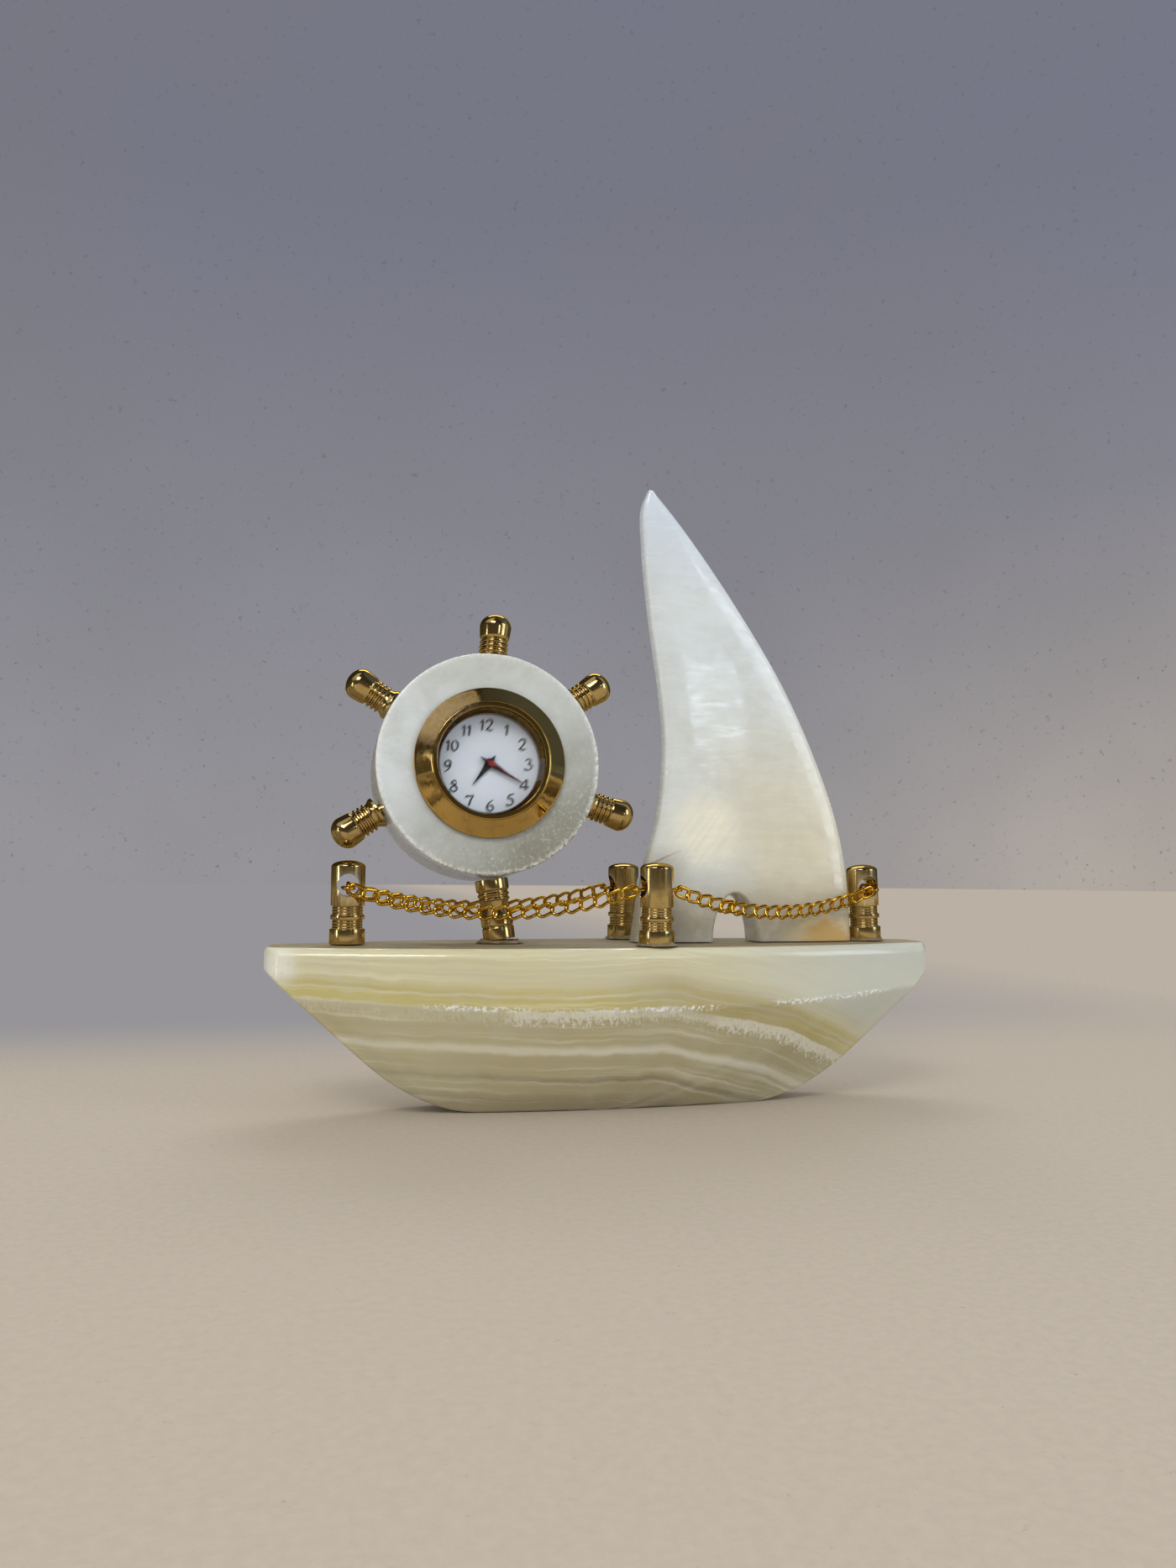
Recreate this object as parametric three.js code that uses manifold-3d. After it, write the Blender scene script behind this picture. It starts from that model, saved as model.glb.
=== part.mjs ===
// Desk clock carved as a sailing boat: an onyx hull and sail, a ship's wheel of
// onyx and brass that holds a quartz clock insert, four brass stanchions and a
// gold chain that threads through them.
// Millimetres, +Z up, +X along the hull, -Y towards the viewer. The origin is on
// the floor under the middle of the hull.

import * as THREE from 'three';
import { mergeVertices } from 'three/addons/utils/BufferGeometryUtils.js';
import Module from 'manifold-3d';

const wasm = await Module();
wasm.setup();

const DEG = Math.PI / 180;

// Clearances
const GAP = 0.3;                  // glue line, and the gap between neighbouring pieces
const TOOTH_GAP = 0.2;            // between the tips of two toothed wheels
const TUBE_GAP = 0.1;             // around arbors and between the hands' tubes

// Onyx hull
const HULL_LENGTH = 167.6;
const HULL_HEIGHT = 39;
const DECK_HALF = 19.65;          // half breadth of the flat deck amidships
const END_HALF = 5.8;             // the same where the nose begins to round
const DECK_FULLNESS = 2.26;       // exponent of the deck outline
const HULL_EDGE = 1.5;            // rounding between deck and side
const KNUCKLE_FLARE = 0.4;        // how far the knuckle stands out past the side
const KNUCKLE_DROP = 14.3;        // from the deck down to the knuckle amidships
const KNUCKLE_RISE = 4;           // how much higher the knuckle lies at the ends
const LOWER_LEAN = 27 * DEG;      // lean of the side below the knuckle
const LOWER_BULGE = 0.8;          // roundness of that side
const KEEL_HALF = 47.5;           // half length of the keel, where the raked ends start
const RAKE = 43 * DEG;            // climb of the raked ends
const RAKE_BLEND = 14;            // half length of the curve between keel and rake
const NOSE = 3.6;                 // length of the rounded nose
const NOSE_NARROWING = 0.28;      // breadth left at the tip of the nose, as a share
const NOSE_SOLE = 0.6;            // least height of the lower side at the nose
const HULL_STATIONS = 34;

// Onyx sail: edge points as [x, height over the deck], from the foot to the tip
const SAIL_LUFF = [
  [4.7, 0], [7.3, 15.8], [11.6, 31], [14.2, 49], [13.1, 64], [10.4, 82], [8.6, 103], [8.9, 116.1],
];
const SAIL_LEECH = [
  [63.3, 0], [62.4, 16], [59.8, 29.3], [54.9, 43], [44.2, 65.2], [30.3, 86.8], [15.5, 106.6], [10.6, 114.6],
];
const SAIL_FOOT_HALF = 5;         // half thickness at the deck
const SAIL_TIP_HALF = 2.3;        // half thickness at the tip
const SAIL_SQUARENESS = 4.5;      // exponent of the sail's rounded section
const SAIL_LEVELS = 22;
const SAIL_SECTION = 16;
const ARCH_X = 30.7;              // middle of the arch between the sail's two feet
const ARCH_HALF = 5.8;
const ARCH_HEIGHT = 12;

// Brass stanchions
const STANCHION_INSET = 17.1;     // of the end stanchions, from the hull's ends
const STANCHION_ENDS = HULL_LENGTH / 2 - STANCHION_INSET; // half the distance between them
const STANCHION_SHIFT = 1.7;      // midway between them, along the hull
const STANCHION_PAIR_X = 6.8;
const STANCHION_PAIR_Y = 15.3;
const STANCHION_LEAN = -2.3 * DEG; // of the right one, towards the sail
const STANCHION_RADIUS = 3.98;
const STANCHION_HEIGHT = 19.65;
const STANCHION_BASE_RADIUS = 4.15;
const STANCHION_BASE = 3.45;      // height of the base collar
const STANCHION_NECK_RADIUS = 3.6;
const LOWER_NECK = 2.3;           // height of the neck under the bead
const BEAD = 1;
const UPPER_NECK = 2.2;
const STANCHION_DOME = 1.45;
const EYE_RADIUS = 2.65;          // cross hole that takes the chain
const EYE_DROP = 5.8;             // from the top down to the hole's axis

// Gold curb chain
const WIRE_RADIUS = 0.34;
const LINK_BEND = 1.25;           // bend radius of a link's ends, to the wire's centre
const LINK_LENGTH = 3.8;          // over the wire's centres
const LINK_PITCH = 3.25;
const LINK_TWIST = 0.26;          // how far the wire leaves the link's plane
const EYE_LINK_LENGTH = 4.2;
const EYE_LINK_GRIP = 0.3;        // between the wire centres of linked links in an eye
const FRONT_SAG = 5.6;
const BACK_SAG = 5.0;
const LINK_STEPS = 8;             // facets around a link
const WIRE_SIDES = 3;             // facets around its wire
const SWAG_STEPS = 16;            // points that a swag's curve is drawn through

// Ship's wheel
const WHEEL_X = -32.4;            // middle of the ring's front face
const WHEEL_Y = -6.3;
const WHEEL_Z = 43.6;             // height over the deck
const WHEEL_TILT = 4.16 * DEG;    // the face looks slightly up
const RING_RADIUS = 27.1;
const RING_DEPTH = 21.8;
const RING_CHAMFER = 0.5;
const BORE_RADIUS = 17.5;
const HANDLE_LENGTH = 12;
const HANDLE_HEAD_RADIUS = 4;
const HANDLE_HEAD = 5.6;          // length of the bulb
const HEAD_CONE = 0.2;            // share of the bulb that flares out to its full radius
const HEAD_DOME = 0.5;            // share of the bulb that is its dome
const HANDLE_RING_RADIUS = 3.6;
const HANDLE_GROOVE = 0.6;        // depth of the turned grooves
const HANDLE_RING = 1.2;          // width of one turned ring
const HANDLE_RINGS = 3;
const HANDLE_FLANGE_RADIUS = 3.9;
const HANDLE_FLANGE = 0.7;
const PEG_RADIUS = 1.5;           // glued peg under each handle
const PEG_LENGTH = 5;
// Handles around the ring: clock angle of the foot and of the handle's own direction
const HANDLES = [
  ['handle_top', 4.5, 5.5],
  ['handle_upper_right', 52, 56],
  ['handle_lower_right', 107, 108],
  ['handle_lower_left', 247, 236],
  ['handle_upper_left', 304, 303],
];
const PEDESTAL_X = -28.3;         // foot of the post on the deck
const PEDESTAL_LEAN = 8.1 * DEG;
const PEDESTAL_RADIUS = 3.9;
const PEDESTAL_COLLAR_RADIUS = 4.05;
const PEDESTAL_COLLAR = 2.9;      // height of the collars at both ends
const PEDESTAL_LOWER = 5.8;       // from the foot up to the top of the lower drum
const PEDESTAL_NECK_RADIUS = 3.1;
const PEDESTAL_RINGS = 2;
const PEDESTAL_GROOVE = 0.3;      // depth and half width of its grooves

// Adhesive squeezed out around the feet
const GLUE_HEIGHT = 1;
const PEDESTAL_GLUE = 1.2;        // width of each fillet on the deck
const STANCHION_GLUE = { right: 0.5, front: 0.9, back: 0.9 };

// Clock insert, measured along its axis from the ring's front face
const BEZEL_RADIUS = 18.25;
const BEZEL_RIM = 0.9;            // thickness of the rim on the ring
const BEZEL_LIP_RADIUS = 14.1;
const BEZEL_LIP = 4.1;            // height of the lip
const BEZEL_OPENING = 13;         // radius of the opening over the lens
const BEZEL_BREAK = 0.25;         // broken edges of the bezel
const SKIRT_DEPTH = 1.3;          // how far the bezel reaches into the bore
const LENS_RADIUS = 13.35;
const LENS_THICKNESS = 0.9;
const DIAL_VIEW = 11.93;          // visible radius of the dial
const DIAL_FACE = -1;             // level of the dial's face
const DIAL_THICKNESS = 0.4;
const CUP_RADIUS = 15.9;
const CUP_WALL = 1.2;
const CUP_FLANGE_RADIUS = 16.8;
const CUP_FLANGE = 0.6;
const CUP_BACK = -12.4;           // level of the cup's rear rim
const BACK_THICKNESS = 1;
const BACK_PLUG = 1.3;            // height of the snap ring on the case back
const BAND_LENGTH = 7;
const BAND_BASE = 0.4;            // thickness of the rubber band between its ribs
const BAND_RIBS = 4;

// Hands and motion work
const SECONDS_ARBOR = 0.18;       // radius
const TUBE_WALL = 0.2;            // wall of the minute and hour tubes
const HAND_THICKNESS = 0.2;
const HOUR_HAND_LEVEL = -0.65;
const MINUTE_HAND_LEVEL = -0.15;
const SECOND_HAND_LEVEL = 0.35;
// Each hand is widest at its hub, and hollow is how far its sides draw in beyond it
const HOUR_HAND = { tip: 6.7, tail: 2.4, width: 2.4, hollow: 0.35, angle: 217.1 };
const MINUTE_HAND = { tip: 9.4, tail: 2.7, width: 1.9, hollow: 0.45, angle: 121.9 };
const SECOND_HAND = { tip: 9, tail: 1.4, width: 1.5, hollow: 0.12, angle: 120.5 };
const HAND_HUB = 0.4;             // width of a hand's hub around its hole
const HAND_WAIST = 0.3;           // share of the length where its sides draw in most
const HAND_POINT = 0.12;          // half width of a hand's two ends

// Movement: levels are the front faces of the layers, behind the dial
const HOUR_LAYER = -1.75;
const MOTION_LAYER = -2.4;
const PLATE_LAYER = -3.1;
const CENTRE_LAYER = -4.45;
const THIRD_LAYER = -5.15;
const SECONDS_LAYER = -5.85;
const STEP_LAYER = -6.55;
const BRIDGE_LAYER = -7.2;
const POWER_LAYER = -8.3;
const GEAR_THICKNESS = 0.3;
const PLATE_RADIUS = 10.5;
const PLATE_THICKNESS = 1;
const BRIDGE_THICKNESS = 0.7;
const BRIDGE_RADIUS = 9.2;
const BRIDGE_PILLARS = [100, 200, 300].map((angle) => angle * DEG);
const PILLAR_RADIUS = 0.6;
const PIVOT_RADIUS = 0.22;        // arbors and the minute wheel's stud
const PINION_RADIUS = 0.55;
const CANNON_RADIUS = 0.95;
const TOOTH_HEIGHT = 0.2;
const THIRD_DISTANCE = 4.2;       // axes, from the dial's centre
const THIRD_ANGLE = 150 * DEG;
const STEP_DISTANCE = 3.8;
const STEP_ANGLE = 30 * DEG;
const ROTOR_DISTANCE = 3;         // from the intermediate wheel
const ROTOR_ANGLE = -20 * DEG;
const MOTION_DISTANCE = 3;        // minute wheel, straight below the centre
const ROTOR_RADIUS = 1.3;
const ROTOR_LENGTH = 0.9;
const STATOR_THICKNESS = 0.5;
const COIL_RADIUS = 1.1;
const COIL_LENGTH = 5.6;
const COIL_CORE = 0.5;            // half breadth of the coil's core
const HOLDER_WALL = 3.3;          // breadth of the plastic ring around the movement
const HOLDER_DEPTH = 5.6;
const BATTERY_RADIUS = 3.4;
const BATTERY_HEIGHT = 2.6;
const BATTERY_X = -4.8;
const BATTERY_Y = 1.6;
const CLIP_THICKNESS = 0.3;
const CLIP_WIDTH = 2.4;
const BOARD_X = 5.6;
const BOARD_Y = 2.6;
const BOARD_WIDTH = 8;
const BOARD_HEIGHT = 9;
const BOARD_THICKNESS = 0.5;
const CRYSTAL_RADIUS = 0.95;
const CRYSTAL_LENGTH = 5.6;
const CHIP_RADIUS = 1.6;
const CHIP_HEIGHT = 0.6;
const STEM_RADIUS = 0.4;
const STEM_PROUD = 0.6;           // stem between the case back and the knob
const KNOB_RADIUS = 1.9;
const KNOB_HEIGHT = 1.6;
const KNOB_TEETH = 14;

// Facets of round pieces
const FINE = 28;
const ROUND = 16;
const SMALL = 12;
const THIN = 8;
const CURVE_STEPS = 4;            // along each curved side of a hand
const BORE_STEPS = 6;             // around the bore of a toothed wheel
const DOME_STEPS = 3;             // from the edge of a dome to its top

const clock = new THREE.Group();
const deck = new THREE.Group();
deck.position.z = HULL_HEIGHT;
clock.add(deck);
const wheel = new THREE.Group();
wheel.position.set(WHEEL_X, WHEEL_Y, WHEEL_Z);
wheel.rotation.x = Math.PI / 2 - WHEEL_TILT;
deck.add(wheel);

function paint(color, metalness, roughness) {
  return () => new THREE.MeshStandardMaterial({ color, metalness, roughness });
}

const onyxGreen = paint(0xc9c8aa, 0, 0.25);
const onyxWhite = paint(0xdcdcd2, 0, 0.2);
const brass = paint(0xb8924a, 1, 0.2);
const gold = paint(0xd9b048, 1, 0.15);
const goldPlate = paint(0xc9a24c, 1, 0.12);
const clearGlass = paint(0xf2f6f6, 0, 0.03);
const dialPaper = paint(0xf4f2ea, 0, 0.5);
const blackLacquer = paint(0x0b0b0c, 0, 0.3);
const redLacquer = paint(0x8e1616, 0, 0.35);
const blackPlastic = paint(0x1b1b1d, 0, 0.5);
const whitePlastic = paint(0xe6e4dc, 0, 0.45);
const rubber = paint(0x2a2a2a, 0, 0.9);
const steel = paint(0xb4b6ba, 1, 0.3);
const copper = paint(0xa65a2e, 1, 0.35);
const boardGreen = paint(0x1f5a37, 0, 0.5);
const glue = paint(0xb9ad8a, 0, 0.35);

// Merges the shared corners of a closed surface and turns its faces outwards.
function closed(geometry) {
  const bare = geometry.clone();
  bare.deleteAttribute('normal');
  bare.deleteAttribute('uv');
  const merged = mergeVertices(bare, 1e-4);
  const position = merged.attributes.position;
  const corner = [new THREE.Vector3(), new THREE.Vector3(), new THREE.Vector3()];
  const faces = [];
  let volume = 0;
  for (let i = 0; i < merged.index.count; i += 3) {
    const face = [0, 1, 2].map((k) => merged.index.getX(i + k));
    if (new Set(face).size < 3) continue;
    face.forEach((v, k) => corner[k].fromBufferAttribute(position, v));
    volume += corner[0].dot(corner[1].cross(corner[2]));
    faces.push(face);
  }
  merged.setIndex(faces.flatMap(([a, b, c]) => (volume > 0 ? [a, b, c] : [a, c, b])));
  return merged;
}

function toSolid(geometry) {
  const skin = closed(geometry);
  return new wasm.Manifold(new wasm.Mesh({
    numProp: 3,
    vertProperties: new Float32Array(skin.attributes.position.array),
    triVerts: new Uint32Array(skin.index.array),
  }));
}

function toGeometry(solid) {
  const mesh = solid.getMesh();
  const geometry = new THREE.BufferGeometry();
  geometry.setAttribute('position', new THREE.BufferAttribute(mesh.vertProperties, 3));
  geometry.setIndex(new THREE.BufferAttribute(mesh.triVerts, 1));
  return geometry;
}

function cut(geometry, ...tools) {
  return toGeometry(tools.reduce((rest, tool) => rest.subtract(toSolid(tool)), toSolid(geometry)));
}

function join(...geometries) {
  return toGeometry(geometries.map(toSolid).reduce((all, next) => all.add(next)));
}

// Turns a profile of [radius, height] points about the Z axis.
function turned(profile, facets = ROUND) {
  const points = profile.map(([r, z]) => new THREE.Vector2(r, z));
  return closed(new THREE.LatheGeometry(points, facets).rotateX(Math.PI / 2));
}

// Profile points of a dome, from its edge to its top.
function dome(radius, foot, height) {
  return Array.from({ length: DOME_STEPS + 1 }, (_, i) => {
    const turn = i * Math.PI / 2 / DOME_STEPS;
    return [i === DOME_STEPS ? 0 : radius * Math.cos(turn), foot + height * Math.sin(turn)];
  });
}

function collar(inner, outer, back, front, facets = ROUND) {
  return turned([[inner, back], [outer, back], [outer, front], [inner, front], [inner, back]], facets);
}

function rod(radius, back, front, facets = SMALL) {
  return turned([[0, back], [radius, back], [radius, front], [0, front]], facets);
}

function plate(shape, back, front, curveSegments = SMALL) {
  const depth = front - back;
  const geometry = new THREE.ExtrudeGeometry(shape, { depth, bevelEnabled: false, curveSegments });
  return closed(geometry.translate(0, 0, back));
}

function hole(radius, x = 0, y = 0) {
  return new THREE.Path().absarc(x, y, radius, 0, 2 * Math.PI, true);
}

function polar(distance, angle) {
  return [distance * Math.cos(angle), distance * Math.sin(angle)];
}

function disc(radius, ...holes) {
  const shape = new THREE.Shape().absarc(0, 0, radius, 0, 2 * Math.PI);
  shape.holes.push(...holes);
  return shape;
}

// A wheel with straight-sided teeth on a disc with a bore.
function toothed(teeth, radius, bore) {
  const shape = new THREE.Shape();
  const root = radius - TOOTH_HEIGHT;
  const pitch = 2 * Math.PI / teeth;
  shape.moveTo(root, 0);
  for (let i = 0; i < teeth; i += 1) {
    shape.lineTo(...polar(radius, (i + 0.5) * pitch));
    if (i + 1 < teeth) shape.lineTo(...polar(root, (i + 1) * pitch));
  }
  shape.closePath();
  if (bore) shape.holes.push(hole(bore));
  return shape;
}

function place(name, geometry, material, parent = clock, x = 0, y = 0, z = 0) {
  const mesh = new THREE.Mesh(geometry, material());
  mesh.name = name;
  mesh.position.set(x, y, z);
  parent.add(mesh);
  return mesh;
}

// Skins a list of rings that have equally many points, and caps both ends.
function lofted(rings) {
  const count = rings[0].length;
  const positions = rings.flat(2);
  const index = [];
  for (let i = 0; i + 1 < rings.length; i += 1) {
    for (let j = 0; j < count; j += 1) {
      const a = i * count + j;
      const b = i * count + (j + 1) % count;
      index.push(a, b, b + count, a, b + count, a + count);
    }
  }
  const last = (rings.length - 1) * count;
  for (let j = 1; j + 1 < count; j += 1) {
    index.push(0, j + 1, j);
    index.push(last, last + j, last + j + 1);
  }
  const geometry = new THREE.BufferGeometry();
  geometry.setAttribute('position', new THREE.Float32BufferAttribute(positions, 3));
  geometry.setIndex(index);
  return closed(geometry);
}

// Hull

function keelHeight(x) {
  const past = Math.abs(x) - KEEL_HALF;
  if (past <= -RAKE_BLEND) return 0;
  if (past >= RAKE_BLEND) return past * Math.tan(RAKE);
  return Math.tan(RAKE) * (past + RAKE_BLEND) ** 2 / (4 * RAKE_BLEND);
}

function hullSection(x) {
  const share = Math.abs(x) / (HULL_LENGTH / 2);
  const plan = END_HALF + (DECK_HALF - END_HALF) * (1 - share ** DECK_FULLNESS);
  const intoNose = Math.max(0, 1 - (HULL_LENGTH / 2 - Math.abs(x)) / NOSE);
  const narrowing = Math.sqrt(1 - intoNose ** 2 * (1 - NOSE_NARROWING ** 2));
  const keel = keelHeight(x);
  const knuckle = Math.max(HULL_HEIGHT - KNUCKLE_DROP + KNUCKLE_RISE * share ** 2, keel + NOSE_SOLE);
  const lower = knuckle - keel;
  const breadth = plan + HULL_EDGE + KNUCKLE_FLARE;
  const foot = breadth - lower * Math.tan(LOWER_LEAN);
  const bulge = LOWER_BULGE * lower / (HULL_HEIGHT - KNUCKLE_DROP);
  const corner = HULL_EDGE * (1 - Math.SQRT1_2);
  const side = [
    [plan, HULL_HEIGHT],
    [plan + HULL_EDGE - corner, HULL_HEIGHT - corner],
    [plan + HULL_EDGE, HULL_HEIGHT - HULL_EDGE],
    [breadth, knuckle],
    [(breadth + foot) / 2 + bulge, (knuckle + keel) / 2],
    [foot, keel],
  ];
  const port = side.map(([y, z]) => [x, -y * narrowing, z]).reverse();
  return side.map(([y, z]) => [x, y * narrowing, z]).concat(port);
}

function hullShape() {
  const rings = [];
  for (let i = 0; i <= HULL_STATIONS; i += 1) {
    rings.push(hullSection(-HULL_LENGTH / 2 * Math.cos(Math.PI * i / HULL_STATIONS)));
  }
  return lofted(rings);
}

place('hull', hullShape(), onyxGreen);

// Sail

function sailShape() {
  const curve = (points) => new THREE.CatmullRomCurve3(points.map(([x, z]) => new THREE.Vector3(x, 0, z)));
  const luff = curve(SAIL_LUFF);
  const leech = curve(SAIL_LEECH);
  const squared = (value) => Math.sign(value) * Math.abs(value) ** (2 / SAIL_SQUARENESS);
  const rings = [];
  for (let i = 0; i <= SAIL_LEVELS; i += 1) {
    const share = i / SAIL_LEVELS;
    const left = luff.getPoint(share);
    const right = leech.getPoint(share);
    const half = SAIL_FOOT_HALF + (SAIL_TIP_HALF - SAIL_FOOT_HALF) * share;
    const ring = [];
    for (let j = 0; j < SAIL_SECTION; j += 1) {
      const turn = (j + 0.5) * 2 * Math.PI / SAIL_SECTION;
      const point = left.clone().lerp(right, (1 + squared(Math.cos(turn))) / 2);
      ring.push([point.x, half * squared(Math.sin(turn)), point.z]);
    }
    rings.push(ring);
  }
  return lofted(rings);
}

function archShape() {
  const shape = new THREE.Shape().absellipse(0, 0, ARCH_HALF, ARCH_HEIGHT, 0, 2 * Math.PI);
  const depth = 4 * SAIL_FOOT_HALF;
  return plate(shape, -depth / 2, depth / 2).rotateX(Math.PI / 2).translate(ARCH_X, 0, 0);
}

place('sail', cut(sailShape(), archShape()), onyxWhite, deck, 0, 0, GAP);

// Stanchions

function stanchionShape(alongHull) {
  const r = STANCHION_RADIUS;
  const neck = STANCHION_NECK_RADIUS;
  const shoulder = STANCHION_HEIGHT - STANCHION_DOME;
  const beadFoot = STANCHION_BASE + LOWER_NECK;
  const bodyFoot = beadFoot + BEAD + UPPER_NECK;
  const profile = [
    [0, 0], [STANCHION_BASE_RADIUS, 0], [STANCHION_BASE_RADIUS, STANCHION_BASE], [neck, STANCHION_BASE],
    [neck, beadFoot], [r, beadFoot], [r, beadFoot + BEAD], [neck, beadFoot + BEAD],
    [neck, bodyFoot], [r, bodyFoot],
  ];
  profile.push(...dome(r, shoulder, STANCHION_DOME));
  const drill = rod(EYE_RADIUS, -2 * r, 2 * r, ROUND);
  if (alongHull) drill.rotateY(Math.PI / 2);
  else drill.rotateX(Math.PI / 2);
  return cut(turned(profile), drill.translate(0, 0, STANCHION_HEIGHT - EYE_DROP));
}

const STANCHIONS = {
  left: { x: STANCHION_SHIFT - STANCHION_ENDS, y: 0, alongHull: false, lean: 0 },
  right: { x: STANCHION_SHIFT + STANCHION_ENDS, y: 0, alongHull: false, lean: STANCHION_LEAN },
  front: { x: STANCHION_PAIR_X, y: -STANCHION_PAIR_Y, alongHull: true, lean: 0 },
  back: { x: STANCHION_PAIR_X, y: STANCHION_PAIR_Y, alongHull: true, lean: 0 },
};
for (const [side, { x, y, alongHull, lean }] of Object.entries(STANCHIONS)) {
  place(`stanchion_${side}`, stanchionShape(alongHull), brass, deck, x, y, GAP).rotation.y = lean;
}

// Chain

// One link: an oval of wire whose ends bend out of its plane in turn.
function linkShape(centre, along, across, length, twist) {
  const out = new THREE.Vector3().crossVectors(along, across);
  const straight = length / 2 - LINK_BEND;
  const path = [];
  for (let i = 0; i < LINK_STEPS; i += 1) {
    const turn = (i + 0.5) * 2 * Math.PI / LINK_STEPS;
    const a = Math.sign(Math.cos(turn)) * straight + LINK_BEND * Math.cos(turn);
    const b = LINK_BEND * Math.sin(turn);
    path.push([a, b, twist * Math.sin(2 * turn), Math.cos(turn), Math.sin(turn)]);
  }
  const rings = path.map(([a, b, c, outA, outB]) => {
    const point = centre.clone().addScaledVector(along, a).addScaledVector(across, b).addScaledVector(out, c);
    const away = along.clone().multiplyScalar(outA).addScaledVector(across, outB);
    return Array.from({ length: WIRE_SIDES }, (_, j) => {
      const turn = (j + 0.5) * 2 * Math.PI / WIRE_SIDES;
      return point.clone()
        .addScaledVector(away, WIRE_RADIUS * Math.cos(turn))
        .addScaledVector(out, WIRE_RADIUS * Math.sin(turn))
        .toArray();
    });
  });
  const index = [];
  for (let i = 0; i < LINK_STEPS; i += 1) {
    for (let j = 0; j < WIRE_SIDES; j += 1) {
      const next = ((i + 1) % LINK_STEPS) * WIRE_SIDES;
      const a = i * WIRE_SIDES + j;
      const b = i * WIRE_SIDES + (j + 1) % WIRE_SIDES;
      index.push(a, b, next + (j + 1) % WIRE_SIDES, a, next + (j + 1) % WIRE_SIDES, next + j);
    }
  }
  const geometry = new THREE.BufferGeometry();
  geometry.setAttribute('position', new THREE.Float32BufferAttribute(rings.flat(2), 3));
  geometry.setIndex(index);
  return geometry;
}

const UP = new THREE.Vector3(0, 0, 1);
const EYE_LEVEL = GAP + STANCHION_HEIGHT - EYE_DROP - (EYE_RADIUS - LINK_BEND - WIRE_RADIUS - GAP);
const EYE_LINK_STEP = EYE_LINK_LENGTH - EYE_LINK_GRIP;
const EYE_HOOK = EYE_LINK_STEP + EYE_LINK_LENGTH / 2 - LINK_BEND;

// Three links that lie in a stanchion's eye; the outer two lie flat.
function eyeShape({ x, y, alongHull }) {
  const along = alongHull ? new THREE.Vector3(1, 0, 0) : new THREE.Vector3(0, 1, 0);
  const flat = new THREE.Vector3().crossVectors(UP, along);
  const middle = new THREE.Vector3(x, y, EYE_LEVEL);
  const links = [-1, 0, 1].map((side) => {
    const centre = middle.clone().addScaledVector(along, side * EYE_LINK_STEP);
    return linkShape(centre, along, side === 0 ? UP : flat, EYE_LINK_LENGTH, 0);
  });
  return join(...links);
}

function hook({ x, y, alongHull }, side) {
  const reach = side * EYE_HOOK;
  return new THREE.Vector3(x + (alongHull ? reach : 0), y + (alongHull ? 0 : reach), EYE_LEVEL);
}

// A swag hangs as a parabola between two hooks, and its links follow it.
function swagShape(from, to, sag) {
  const points = Array.from({ length: SWAG_STEPS + 1 }, (_, i) => {
    const share = i / SWAG_STEPS;
    return from.clone().lerp(to, share).addScaledVector(UP, -4 * sag * share * (1 - share));
  });
  const curve = new THREE.CatmullRomCurve3(points);
  const length = curve.getLength();
  const count = Math.round((length - LINK_LENGTH) / LINK_PITCH) + 1;
  const pitch = (length - LINK_LENGTH) / (count - 1);
  const links = [];
  for (let i = 0; i < count; i += 1) {
    const start = curve.getPointAt(i * pitch / length);
    const end = curve.getPointAt(Math.min(1, (i * pitch + LINK_LENGTH) / length));
    const along = end.clone().sub(start).normalize();
    const across = UP.clone().addScaledVector(along, -UP.dot(along)).normalize();
    const centre = start.clone().add(end).multiplyScalar(0.5);
    links.push(linkShape(centre, along, across, LINK_LENGTH, LINK_TWIST));
  }
  return join(...links);
}

for (const [side, stanchion] of Object.entries(STANCHIONS)) {
  place(`chain_${side}_eye`, eyeShape(stanchion), gold, deck);
}
const { left, right, front, back } = STANCHIONS;
place('chain_front_left', swagShape(hook(left, -1), hook(front, -1), FRONT_SAG), gold, deck);
place('chain_front_right', swagShape(hook(front, 1), hook(right, -1), FRONT_SAG), gold, deck);
place('chain_back_left', swagShape(hook(left, 1), hook(back, -1), BACK_SAG), gold, deck);
place('chain_back_right', swagShape(hook(back, 1), hook(right, 1), BACK_SAG), gold, deck);

// Ship's wheel, drawn in its own frame: X right, Y up its face, Z out of its face

const MID_RING = -RING_DEPTH / 2;
const clockDirection = (angle) => [Math.sin(angle), Math.cos(angle)];

// How far a flat foot of the given radius moves along its direction to sit on the ring's rim.
function standOff(from, direction, radius, side) {
  const [dx, dy] = direction;
  const lifts = [-radius, 0, radius].map((offset) => {
    const x = from[0] + offset * dy;
    const y = from[1] - offset * dx;
    const along = x * dx + y * dy;
    return -along + side * Math.sqrt(along ** 2 - (x ** 2 + y ** 2 - (RING_RADIUS + GAP) ** 2));
  });
  return side > 0 ? Math.max(...lifts) : Math.min(...lifts);
}

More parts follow.
